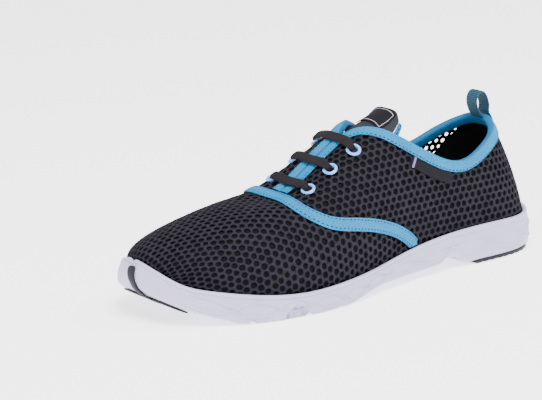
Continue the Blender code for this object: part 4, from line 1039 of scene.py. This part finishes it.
place = np.linspace(0, 1, len(tapeTable))
tapeAlong = splineCurve(place, tapeTable[:, 0], levelStart=True)
tapeUp = splineCurve(place, tapeTable[:, 1])
s = np.linspace(1, -1, 241)
station = np.where(s >= 0, 1, -1) * stationOf(tapeAlong(np.abs(s)))
up = np.maximum(tapeUp(np.abs(s)), rimUp(station) + 0.012)
path = wallPoint(station, up)
heading = unit(np.cross(wallNormal(station, up), unit(np.gradient(path, axis=0))))
heading = heading * np.sign(heading[len(heading) // 2, 0])
tops, bottoms = [], []
shares = np.array([-0.5, -0.485, -0.44, -0.33, -0.17, 0.0, 0.17, 0.33, 0.44, 0.485, 0.5])
profile = np.array([0.35, 0.78, 1.0, 1.16, 1.3, 1.36, 1.3, 1.16, 1.0, 0.78, 0.35])
for share, level in zip(shares, profile):
    there = walk(station, up, heading, np.full(station.shape, share * tape["width"]))
    there = (there[0], np.maximum(there[1], rimUp(there[0]) + 0.010))
    bottoms.append(wallOffset(*there, tape["lift"]))
    tops.append(wallOffset(*there, tape["lift"] + tape["thick"] * level))
run = lengthOf(path)
place = np.stack(np.broadcast_arrays(run[None, :], ((shares + 0.5) * tape["width"] * 10)[:, None]), -1)
vampTape = tapeFinish("vampTape", (tape["stitchIn"], tape["width"] * 1000 - tape["stitchIn"]))
grids = sheetGrids(np.stack(tops), np.stack(bottoms), place)
buildPiece("vamp_seam_tape", grids, vampTape, ("vamp_tape",), 60)
print("tapes laid")

# sole
sole = {
    "flare": 0.0050, "bevel": 0.0014, "rim": 0.0024, "step": 0.0005, "groove": 0.0020, "grooveWidth": 0.0030,
    "grooves": (0.838, 0.879, 0.914), "underGrooves": (0.640, 0.720), "line": 0.0013, "scoop": 0.0030,
    "toePad": 0.948,
}


# full depth round a groove's middle, fading smoothly to 0 at its sides
def grooveDepth(station, places):
    x = lastLength * alongOf(station)
    near = np.min([np.abs(x - lastLength * groove) for groove in places], axis=0)
    return sole["groove"] * (1 - smooth(0.42, 0.62, near / sole["grooveWidth"]))


# the middle line that the rows of the underside run to, stopped short of both ends
def spine(station):
    x = np.clip(footOfWall(station)[0], last["heelAxis"] * 0.6, last["soleLength"] * 0.945)
    return x, centreAt(x)


# the lower edge: the plan outline plus the flare, a bevel above the underside
def soleEdge(station):
    (fx, fy), (nx, ny) = footOfWall(station), planNormal(station)
    flare = sole["flare"] * flareOf(np.abs(station))
    x, y = fx + nx * flare, fy + ny * flare
    return pack(x, y, undersideHeight(x, y) + sole["bevel"] + grooveDepth(station, sole["grooves"]) * 0.7)


# way out of the upper at the rim: the wall's normal, and at the toe the plan's, raised by 37 degrees
def lipNormal(station):
    nx, ny = planNormal(station)
    turned = smooth(0.90, 0.985, np.abs(station))[..., None]
    return unit(wallNormal(station, rimUp(station)) * (1 - turned) + pack(0.8 * nx, 0.8 * ny, 0.6) * turned)


# side of the sole: a quadratic curve from the rim over a belly point to the lower edge, then in to the spine
def soleSkin(station, down):
    station, down = np.broadcast_arrays(np.asarray(station, float), np.asarray(down, float))
    beyond = np.abs(station) > 1
    station = np.where(beyond, -np.sign(station) * (2 - np.abs(station)), station)
    (fx, fy), (nx, ny) = footOfWall(station), planNormal(station)
    top = wallPoint(station, rimUp(station)) + lipNormal(station) * (last["gap"] + sole["rim"])
    edge = soleEdge(station)
    bulge = sole["flare"] * flareOf(np.abs(station)) * 1.15
    belly = pack(fx + nx * bulge, fy + ny * bulge, edge[..., 2] * 0.6 + top[..., 2] * 0.4)
    s = np.clip(down, 0, 1)[..., None]
    side = top * (1 - s) ** 2 + belly * 2 * s * (1 - s) + edge * s**2
    inset = sole["bevel"] * 1.3
    innerX, innerY = edge[..., 0] - nx * inset, edge[..., 1] - ny * inset
    s, (middleX, middleY) = np.clip(down - 1, 0, 1), spine(station)
    x, y = innerX + (middleX - innerX) * s, innerY + (middleY - innerY) * s
    cut = grooveDepth(station, sole["grooves"]) + grooveDepth(station, sole["underGrooves"])
    under = pack(x, y, undersideHeight(x, y) + cut)
    return np.where((down > 1)[..., None], under, side)


# two raised lines wave along the side and cross at these shares of the length, which leaves lenses
# between them
crossings = np.array([
    -0.02, 0.075, 0.180, 0.290, 0.400, 0.500, 0.570, 0.634, 0.716, 0.786, 0.874, 0.985, 1.06,
])
lensHigh = np.array([0.20, 0.24, 0.24, 0.20, 0.22, 0.22, 0.26, 0.28, 0.24, 0.26, 0.28, 0.30, 0.30])


# height of the relief: lines at level +- high sin(phase), the phase going up by pi from crossing to
# crossing, the lenses between them a little proud, all of it gone at the toe and the heel
def soleRelief(station, down):
    along = alongOf(station)
    phase = np.interp(along, crossings, np.arange(len(crossings)) * math.pi)
    high = np.interp(along, crossings, lensHigh)
    level = 0.50 + 0.05 * np.sin(along * 23.0)
    wave = high * np.sin(phase)
    first, second = down - level - wave, down - level + wave
    lines = np.maximum(np.exp(-((first / 0.045) ** 2)), np.exp(-((second / 0.045) ** 2)))
    lens = smooth(-0.02, 0.05, np.abs(wave) - np.abs(down - level)) * 0.45
    ends = smooth(0.006, 0.05, along) * (1 - smooth(0.93, 0.975, along))
    return np.maximum(lines, lens) * smooth(0.14, 0.2, down) * (1 - smooth(0.86, 0.94, down)) * ends


# a scoop with fine ribs, cut in the lower part of the outer side under the ball
def soleScoop(station, down):
    t, high = (alongOf(station) - 0.745) / 0.030, (down - 1.0) / 0.62
    inside = (1 - smooth(0.75, 1.0, np.sqrt(t**2 + high**2))) * (station > 0)
    return inside * (1 + 0.22 * np.sin(alongOf(station) * 2 * math.pi / 0.0075))


grids, count = [], 260
floorRows = (0.0, 0.5, 1.0)
sideRows = np.concatenate([np.linspace(0.19, 0.96, 50), [0.985, 1.0]])
underRows = 1 + np.concatenate([[0.001], np.linspace(0.03, 1.0, 9)])
for side in (1, -1):
    station = side * np.linspace(0, 1, count)
    (fx, fy), (nx, ny), (mx, my) = footOfWall(station), planNormal(station), spine(station)
    rows = [pack(mx + (fx - mx) * t, my + (fy - my) * t, floorHeight(mx + (fx - mx) * t)) for t in floorRows]
    rows[-1] = pack(fx + nx * last["gap"], fy + ny * last["gap"], floorHeight(fx))
    top = rimUp(station)
    rows += [wallOffset(station, top * t, last["gap"]) for t in (0.4, 0.8, 0.96)]
    crown = wallPoint(station, top) + lipNormal(station) * (last["gap"] + 0.0004)
    skin = soleSkin(station, 0.0)
    rows += [crown, crown * 0.5 + skin * 0.5 + np.array([0, 0, 0.0002]), skin * 0.85 + crown * 0.15]
    pulls = ((0.02, 0), (0.07, 0), (0.105, 0), (0.125, 0.4), (0.15, 1.0), (0.17, 0.8))
    rows += [soleSkin(station, d) - pack(nx, ny, 0) * (sole["step"] * pull) for d, pull in pulls]
    for d in sideRows:
        level = np.full(station.shape, d)
        relief = soleRelief(station, level) * sole["line"] - soleScoop(station, level) * sole["scoop"]
        rows.append(soleSkin(station, d) + pack(nx, ny, 0) * relief[:, None])
    rows += [soleSkin(station, d) for d in underRows]
    rows = np.stack(rows)
    run = lengthOf(soleEdge(station))
    down = lengthOf(rows[:, count // 2])
    place = np.stack(np.broadcast_arrays(run[None, :], down[:, None]), -1)
    grids.append((rows, place))
foamLookMade = foamFinish()
buildPiece("foam_sole", grids, foamLookMade, ("sole",), 40, weld=2e-5)

# rubber parts on the sole's skin, with rounded edges
rubberParts = {"thick": 0.0012, "lift": 0.00042, "finger": 0.0055}
rubberLook = rubberFinish()


# rows go down the sole's skin, each narrowed towards the anchor; first and last are rounded
def skinPatch(name, rows, places, anchor, node, setBack=0.0):
    inner, outer = [], []
    shapes = np.array(rows)
    finer = np.linspace(0, len(rows) - 1, (len(rows) - 1) * 5 + 1)
    downs = np.interp(finer, range(len(rows)), shapes[:, 0])
    widths = np.interp(finer, range(len(rows)), shapes[:, 1])
    for k, (down, width) in enumerate(zip(downs, widths)):
        station = anchor + (places - anchor) * width
        at = np.where(np.abs(station) > 1, -np.sign(station) * (2 - np.abs(station)), station)
        nx, ny = planNormal(at)
        skin = soleSkin(at, 1.98 - (1.98 - down) * (1 - setBack * smooth(0.86, 1.0, np.abs(at))))
        sink = np.clip((down - 0.95) / 0.05, 0, 1) * 0.7
        under = float(down > 1)
        sideways = pack(nx * (1 - sink), ny * (1 - sink), -sink)
        out = sideways * (1 - under) + pack(nx * 0.5, ny * 0.5, -0.87) * under
        edge = min(k, len(downs) - 1 - k) / 2
        plump = rubberParts["thick"] * (0.35 + 0.65 * min(edge, 1) ** 0.5)
        inner.append(skin + out * rubberParts["lift"])
        outer.append(skin + out * (rubberParts["lift"] + plump))
    inner, outer = np.array(inner), np.array(outer)
    place = np.stack(np.broadcast_arrays(lengthOf(outer[0])[None, :], lengthOf(outer[:, 0])[:, None]), -1)
    return buildPiece(name, sheetGrids(outer, inner, place), rubberLook, (node,), 45)


stations = np.linspace(float(stationOf(sole["toePad"])), 1, 40)
places = np.concatenate([stations, 2 - stations[::-1][1:]])
skinPatch("toe_rubber_pad", [(1.02, 1.0), (1.1, 1.0), (1.5, 1.0), (1.95, 1.0)], places, 1.0, "toe_tread", 0.8)
stations = np.linspace(float(stationOf(0.770)), float(stationOf(0.876)), 30)
places = -stations[::-1]
wedge = [(0.56, 0.20), (0.70, 0.45), (0.85, 0.72), (1.0, 1.0)]
skinPatch("inner_side_wedge", wedge, places, places[0], "medial_tread")

# the strip runs down the toe a little to the outer side, bends outwards under it and ends at the pad
inner, outer = [], []
downs = np.concatenate([np.linspace(0.24, 0.98, 24), np.linspace(1.01, 1.86, 20)])
widths = np.interp(downs, (0.24, 0.26, 0.31, 0.42, 1.0, 1.4, 1.86), (0.35, 0.75, 1.0, 1.05, 0.95, 0.7, 0.4))
shifts = np.interp(downs, (0.24, 1.0, 1.4, 1.86), (0.0026, 0.0034, 0.0052, 0.0086))
for down, width, shift in zip(downs, widths, shifts):
    row = []
    for across in np.linspace(-1, 1, 9):
        reach = shift + rubberParts["finger"] / 2 * width * across
        spread = np.linspace(0, 0.2, 81)
        side = soleSkin((1 if reach >= 0 else -1) * (1 - spread), np.full(81, down))
        away = np.abs(side[:, 1] - side[0, 1])
        row.append([np.interp(abs(reach), away, side[:, k]) for k in range(3)])
    row = np.array(row)
    turned = float(smooth(0.9, 1.1, down))
    way = unit(np.array([1.0, 0, 0.3]) * (1 - turned) + np.array([0.6, 0.2, -0.8]) * turned)
    plump = rubberParts["thick"] * (1.15 - 0.5 * np.linspace(-1, 1, 9) ** 4)
    inner.append(row + way * rubberParts["lift"])
    outer.append(row + way * (rubberParts["lift"] + plump[:, None]))
inner, outer = np.array(inner), np.array(outer)
place = np.stack(np.broadcast_arrays(lengthOf(outer[0])[None, :], lengthOf(outer[:, 0])[:, None]), -1)
buildPiece("toe_rubber_strip", sheetGrids(outer, inner, place), rubberLook, ("toe_guard",), 45)

stations = np.linspace(0, float(stationOf(0.215)), 60)
edges = []
for side in (1, -1):
    edge = soleEdge(side * stations)
    nx, ny = planNormal(side * stations)
    edges.append(pack(edge[:, 0] - nx * sole["bevel"] * 0.9, edge[:, 1] - ny * sole["bevel"] * 0.9, 0))
across = np.linspace(0, 1, 33)[None, :, None]
plan = edges[0][:, None] * (1 - across) + edges[1][:, None] * across
level = undersideHeight(plan[..., 0], plan[..., 1]) - last["gap"]
ribs = 0.0004 * smooth(0.2, 0.6, np.sin(plan[..., 0] * 2 * math.pi / 0.0055))
top, bottom = pack(plan[..., 0], plan[..., 1], level), pack(plan[..., 0], plan[..., 1], ribs)
grids = sheetGrids(top, bottom, plan[..., :2] * 10)
buildPiece("heel_plate", grids, rubberLook, ("heel_tread",), 45)
print("sole built")

# insole; its rows give the share of the way out to the edge, and the level
insoleRows = (
    (0, 1), (0.3, 1), (0.6, 1), (0.85, 1), (0.96, 1.0), (0.99, 0.93), (1, 0.75), (1, 0), (0.6, 0), (0, 0),
)
grids = []
for side in (1, -1):
    station = side * np.linspace(0, 1, 80)
    fx, fy = footOfWall(station)
    x = last["heelOverhang"] + 0.0055 + (fx - last["heelOverhang"]) * 0.925
    y = centreAt(x) + (fy - centreAt(fx)) * 0.90
    mx = np.clip(x, last["heelAxis"] * 0.6, last["soleLength"] * 0.875)
    my = centreAt(mx)
    rows, places = [], []
    for t, level in insoleRows:
        px, py = mx + (x - mx) * t, my + (y - my) * t
        rows.append(pack(px, py, floorHeight(px) + last["gap"] + 0.0035 * level))
        places.append(np.stack([px, py], -1) * 10)
    grids.append((np.stack(rows), np.stack(places)))
insoleLook = clothFinish("insoleCloth", rgb(0.006, 0.006, 0.008), rgb(0.022, 0.022, 0.028), 0.8, 0.8)
buildPiece("insole_pad", grids, insoleLook, ("insole",), 50, weld=2e-5)

# tongue
tongue = {
    "half": 0.0190, "share": 0.54, "opening": 0.085, "edge": 0.0028, "top": 0.358, "foot": 0.690,
    "free": 0.392, "thick": 0.0022, "patch": 0.0005,
}


# below the ridge by depth; the free end rises with across to the power 2.4
def tonguePoint(along, across, reach, depth):
    along, across, reach, depth = np.broadcast_arrays(along, across, reach, depth)
    station = np.where(across >= 0, 1, -1) * stationOf(along)
    (_, fy), (_, hy) = footOfWall(station), headOfWall(station)
    room = np.minimum(reach, tongue["share"] * np.abs(fy - hy))
    up = upNearRidge(station, np.abs(across) * room)
    point = wallOffset(station, up, -depth)
    free = np.clip((tongue["free"] - along) / (tongue["free"] - tongue["top"]), 0, 1) ** 1.5
    opening = free * tongue["opening"] * last["instepHeight"] * np.minimum(np.abs(across), 1.3) ** 2.4
    return point + pack(0 * opening, 0 * opening, opening)


tongueDepth = last["wall"] + binding["thick"] + tongue["patch"] + 5 * last["gap"]


# pulls the top edge back with the cube of the distance from the middle
def crowned(along, across):
    crown = np.clip((0.45 - along) / (0.45 - tongue["top"]), 0, 1) * 0.012
    return along + crown * np.abs(across) ** 3


# half width, from 78 percent at the foot up to all of it
def tongueReach(along):
    return tongue["half"] * (0.78 + 0.22 * np.clip((tongue["foot"] - along) / 0.2, 0, 1))


along = np.linspace(tongue["foot"] - 0.001, tongue["top"] + 0.001, 70)
along = np.concatenate([[tongue["foot"]], along, [tongue["top"]]])[:, None]
across = np.concatenate([[1], np.linspace(0.99, -0.99, 41), [-1]])[None, :]
share, reach = crowned(along, across), tongueReach(along)
soft = np.ones(share.shape)
soft[0] = soft[-1] = 0.35
soft[:, 0] = soft[:, -1] = 0.35
swell = 0.0004 * (1 - np.abs(across) ** 6) * soft
middle = tongueDepth + tongue["thick"] / 2
top = tonguePoint(share, across, reach, middle - tongue["thick"] / 2 * soft)
bottom = tonguePoint(share, across, reach, middle + tongue["thick"] / 2 * soft + swell)
place = np.stack([lengthOf(top[:, 21])[:, None] + 0 * share, across * reach * 10 + 0 * share], -1)
tongueLook = clothFinish("tongueCloth", rgb(0.006, 0.006, 0.009), rgb(0.030, 0.030, 0.040), 0.55, 0.7)
buildPiece("tongue_pad", sheetGrids(top, bottom, place), tongueLook, ("tongue",), 50)

edgeTape = tapeFinish("tongueTape", (1.3,))
along = np.linspace(tongue["foot"] - 0.09, tongue["top"], 80)[:, None]
reach = tongueReach(along)
shares = np.array([[0.0, 0.12, 0.35, 0.65, 0.9, 1.0]])
plump = np.array([[0.6, 0.95, 1.12, 1.12, 0.95, 0.55]])
for name, side in (("lateral", 1), ("medial", -1)):
    beside = side * (1 + (last["gap"] * 1.4 + shares * tongue["edge"]) / reach)
    centred = crowned(along, 1.0)
    over = tonguePoint(centred, beside, reach, middle - tongue["thick"] / 2 * plump)
    under = tonguePoint(centred, beside, reach, middle + tongue["thick"] / 2 * plump)
    place = np.stack(np.broadcast_arrays(lengthOf(over[:, 2])[:, None], shares * tongue["edge"] * 10), -1)
    grids = sheetGrids(over, under, place)
    buildPiece(f"tongue_tape_{name}", grids, edgeTape, (f"tongue_edge_{name}",), 50)

patchAlong = np.linspace(tongue["top"] + 0.062, tongue["top"] + 0.006, 24)[:, None]
across = np.linspace(0.72, -0.72, 30)[None, :]
share, reach = crowned(patchAlong, across), tongueReach(patchAlong)
over = tonguePoint(share, across, reach, tongueDepth - last["gap"] - tongue["patch"])
under = tonguePoint(share, across, reach, tongueDepth - last["gap"])
deep, wide = lengthOf(over[:, 15]), lengthOf(over[12])
place = np.stack(np.broadcast_arrays(wide[None, :], deep[:, None]), -1)
patchLook = labelFinish("labelSatin", float(wide[-1]) * 100, float(deep[-1]) * 100, 1.6)
buildPiece("tongue_patch", sheetGrids(over, under, place), patchLook, ("tongue_label",), 50)

# side tab
tab = {"middle": 0.309, "long": 0.0214, "drop": 0.0066, "thick": 0.0005}
ends = [tab["middle"] + tab["long"] * s / lastLength for s in (-0.47, 0.47)]
fine = stationOf(np.linspace(ends[0] - 0.02, ends[1] + 0.02, 49))
up = toplineUp(fine)
heading, _ = edgeHeadings(fine, up, 8)
pick = np.arange(4, 45)
tops, bottoms, shares = [], [], np.linspace(0, 1, 9)
for s in shares:
    reach = np.full(len(pick), binding["collar"] + last["gap"] + tab["drop"] * s)
    there = walk(fine[pick], up[pick], heading[pick], reach)
    tops.append(wallOffset(*there, last["gap"] + tab["thick"]))
    bottoms.append(wallOffset(*there, last["gap"]))
wide = lengthOf(tops[4])
place = np.stack(np.broadcast_arrays(wide[None, :], (shares * tab["drop"] * 10)[:, None]), -1)
tabLook = labelFinish("tabSatin", float(wide[-1]) * 100, 6.6, 0.0, float(wide[-1]) * 100 - 2.2)
grids = sheetGrids(np.stack(tops), np.stack(bottoms), place)
buildPiece("side_tab", grids, tabLook, ("side_label",), 50)
print("tongue and labels built")

# eyelets
plasticLook = plasticFinish()
angle = np.arange(40) * 2 * math.pi / 40
barrel = eyelets["hole"] + eyelets["band"] * 0.6
flange, thick = eyelets["seat"], eyelets["band"]
ringSection = [(eyelets["radius"] - 0.0001, flange), (eyelets["radius"], flange + thick * 0.35)]
for turned in np.linspace(0.15, 0.95, 6) * math.pi:
    half = (eyelets["radius"] - eyelets["hole"]) / 2
    middle = (eyelets["radius"] + eyelets["hole"]) / 2
    ringSection.append((middle + half * math.cos(turned), flange + thick * (0.3 + 0.75 * math.sin(turned))))
ringSection += [(eyelets["hole"], flange * 0.2), (eyelets["hole"], -eyelets["deep"])]
ringSection += [(barrel, -eyelets["deep"]), (barrel, flange)]
for (row, side, station, up, centre, axis), count in zip(eyeletPlaces, range(6)):
    along, rise = slopesOf(station, up)
    first = unit(along)
    second = unit(rise - first * np.dot(rise, first))
    headings = np.cos(angle)[:, None] * first + np.sin(angle)[:, None] * second
    rings = []
    for radius, offset in ringSection:
        start = np.full(angle.shape, float(station)), np.full(angle.shape, float(up))
        there = walk(*start, headings, np.full(angle.shape, radius), steps=3)
        ring = wallOffset(*there, offset)
        if radius <= barrel:
            ring = ring + (offset - (ring - centre) @ axis)[:, None] * axis
        rings.append(ring)
    word = f"{'lateral' if side > 0 else 'medial'}_{count // 2 + 1}"
    sweptPiece(f"ring_{word}", np.stack(rings), plasticLook, (f"eyelet_{word}",), 50, closed=True)

# laces
lace = {"width": 0.0064, "height": 0.0018}
laceLook = laceFinish()


# splines through the points over their summed chords, read at even steps
def smoothPath(points, count):
    points = np.asarray(points, float)
    run = np.concatenate([[0], np.cumsum(np.linalg.norm(np.diff(points, axis=0), axis=1))])
    even = np.linspace(0, run[-1], count)
    return np.stack([splineCurve(run, points[:, k])(even) for k in range(points.shape[1])], -1)


# superellipse rings, flat to the wall, carried along a spline
def flatLace(name, knots, sideways, replaces):
    knots = np.asarray(knots)
    path = smoothPath(knots, 90)
    points, widths, heights = path[:, :3], path[:, 3], path[:, 4]
    tangent = unit(np.gradient(points, axis=0))
    across = unit(sideways - tangent * (tangent @ sideways)[:, None])
    lift = np.cross(tangent, across)
    turn = np.arange(20) * 2 * np.pi / 20
    cosine = np.sign(np.cos(turn)) * np.abs(np.cos(turn)) ** 0.7
    sine = np.sign(np.sin(turn)) * np.abs(np.sin(turn)) ** 0.9
    rings = points[:, None] + across[:, None] * (widths[:, None] * cosine)[..., None]
    rings = rings + lift[:, None] * (heights[:, None] * sine)[..., None]
    return sweptPiece(name, rings, laceLook, replaces, 60)


flangeTop = eyelets["seat"] + eyelets["band"]
bindingTop = binding["lift"] + binding["thick"] + binding["crown"]
cross = max(flangeTop, bindingTop) + last["gap"] + lace["height"] / 2
hole = eyelets["hole"] - 2 * last["gap"]
across = np.array([1.0, 0, -0.64])
for count in range(3):
    knots = []
    for place in (2 * count, 2 * count + 1):
        row, side, station, up, centre, axis = eyeletPlaces[place]
        along, rise = (unit(v) for v in slopesOf(station, up))
        inward = unit(np.cross(along * np.sign(station), axis))
        inward = inward * np.sign(np.dot(inward, rise))
        legs = [(0.0008, -0.0019, 0.9), (0.0009, 0.0002, 1.0)]
        legs += [(0.0015, cross * 0.66, 1.1), (0.0032, cross, 1.3)]
        run = [(*(centre + inward * go + axis * lift), hole * w, hole * 0.45) for go, lift, w in legs]
        for share in (0.28, 0.52, 0.76):
            point = wallOffset(station, up + (1 - up) * share, cross)
            run.append((*point, lace["width"] / 2, lace["height"] / 2))
        if side > 0:
            middle = wallOffset(station, np.array(1.0), cross)
            knots = [*run, (*middle, lace["width"] / 2, lace["height"] / 2)]
        else:
            knots = [*knots, *run[::-1]]
    flatLace(f"lace_cross_{count + 1}", knots, across, (f"lace_bar_{count + 1}",))
print("eyelets and laces built")

# pull loop
loop = {"width": 0.0095, "high": 0.0172, "deep": 0.0092, "thick": 0.0012, "rib": 1.15}
loopLook = webbingFinish()
top = float(toplineUp(np.array(0.0)))
edge, normal = wallPoint(np.array(0.0), np.array(top)), wallNormal(np.array(0.0), np.array(top))
rise = unit(edge - wallPoint(np.array(0.0), np.array(top - 0.05)))
outside = last["gap"] * 3 + binding["thick"] + loop["thick"] / 2 + 0.0003
leg = 0.0050
line = [(-0.0012, -0.0004), (-0.0034, 0.0016)]
line += [(-loop["deep"] * a, loop["high"] * b) for a, b in loopTable[1:]]
line += [(outside, -leg * 0.1), (outside, -leg)]
upright, rearward = unit(rise + np.array([0, 0, 1.2])), unit(normal + np.array([-1.2, 0, 0]))
path = []
for out, level in line:
    free = min(max(level / (0.2 * loop["high"]), 0), 1)
    upwards, away = rise * (1 - free) + upright * free, normal * (1 - free) + rearward * free
    path.append(edge + unit(upwards) * level + unit(away) * out)
path = smoothPath(path, 420)
tangent = unit(np.gradient(path, axis=0))
face = np.cross(tangent, np.array([0.0, 1.0, 0.0]))
run = lengthOf(path) * 100
rib = 0.00009 * np.sin(run * 2 * math.pi / loop["rib"])
turn = np.arange(16) * 2 * math.pi / 16 + math.pi / 16
sideways = np.sign(np.cos(turn)) * np.abs(np.cos(turn)) ** 0.35 * loop["width"] / 2
level = np.sign(np.sin(turn)) * np.abs(np.sin(turn)) ** 0.35
rings = path[:, None] + face[:, None] * ((loop["thick"] / 2 + rib)[:, None] * level)[..., None]
rings = rings + np.array([0, 1.0, 0]) * sideways[None, :, None]
sweptPiece("heel_loop", rings, loopLook, ("pull_loop",), 60)
print("loop built")

# floor, backdrop and light
pale = rgb(0.93, 0.93, 0.935)
fixed = {"Roughness": 0.75, "Base Color": pale, "Emission Color": pale, "Emission Strength": 1.8}
floorLook, wires, shader = startFinish("floor", fixed)
floorMesh = bpy.data.meshes.new("floor")
floorMesh.from_pydata([(-9, -9, 0), (9, -9, 0), (9, 9, 0), (-9, 9, 0)], [], [(0, 1, 2, 3)])
floorMesh.materials.append(floorLook)
floor = bpy.data.objects.new("floor", floorMesh)
bpy.context.scene.collection.objects.link(floor)
lights = {
    "key": ((0.35, 0.9, 1.8), 72.0, 0.9),
    "fill": ((1.6, -0.4, 1.2), 14.0, 1.6),
    "rear": ((-1.3, 0.5, 1.3), 16.0, 1.2),
    "world": 1.15,
}
for name in ("key", "fill", "rear"):
    spot, power, size = lights[name]
    lamp = bpy.data.lights.new(name, "AREA")
    lamp.energy, lamp.size = power, size
    made = bpy.data.objects.new(name, lamp)
    made.location = spot
    made.rotation_euler = (-Vector(spot)).to_track_quat("-Z", "Y").to_euler()
    bpy.context.scene.collection.objects.link(made)
world = bpy.data.worlds.new("studio")
world.use_nodes = True
world.node_tree.nodes["Background"].inputs["Color"].default_value = rgb(1.0, 1.0, 1.0)
world.node_tree.nodes["Background"].inputs["Strength"].default_value = lights["world"]
bpy.context.scene.world = world

print("done")
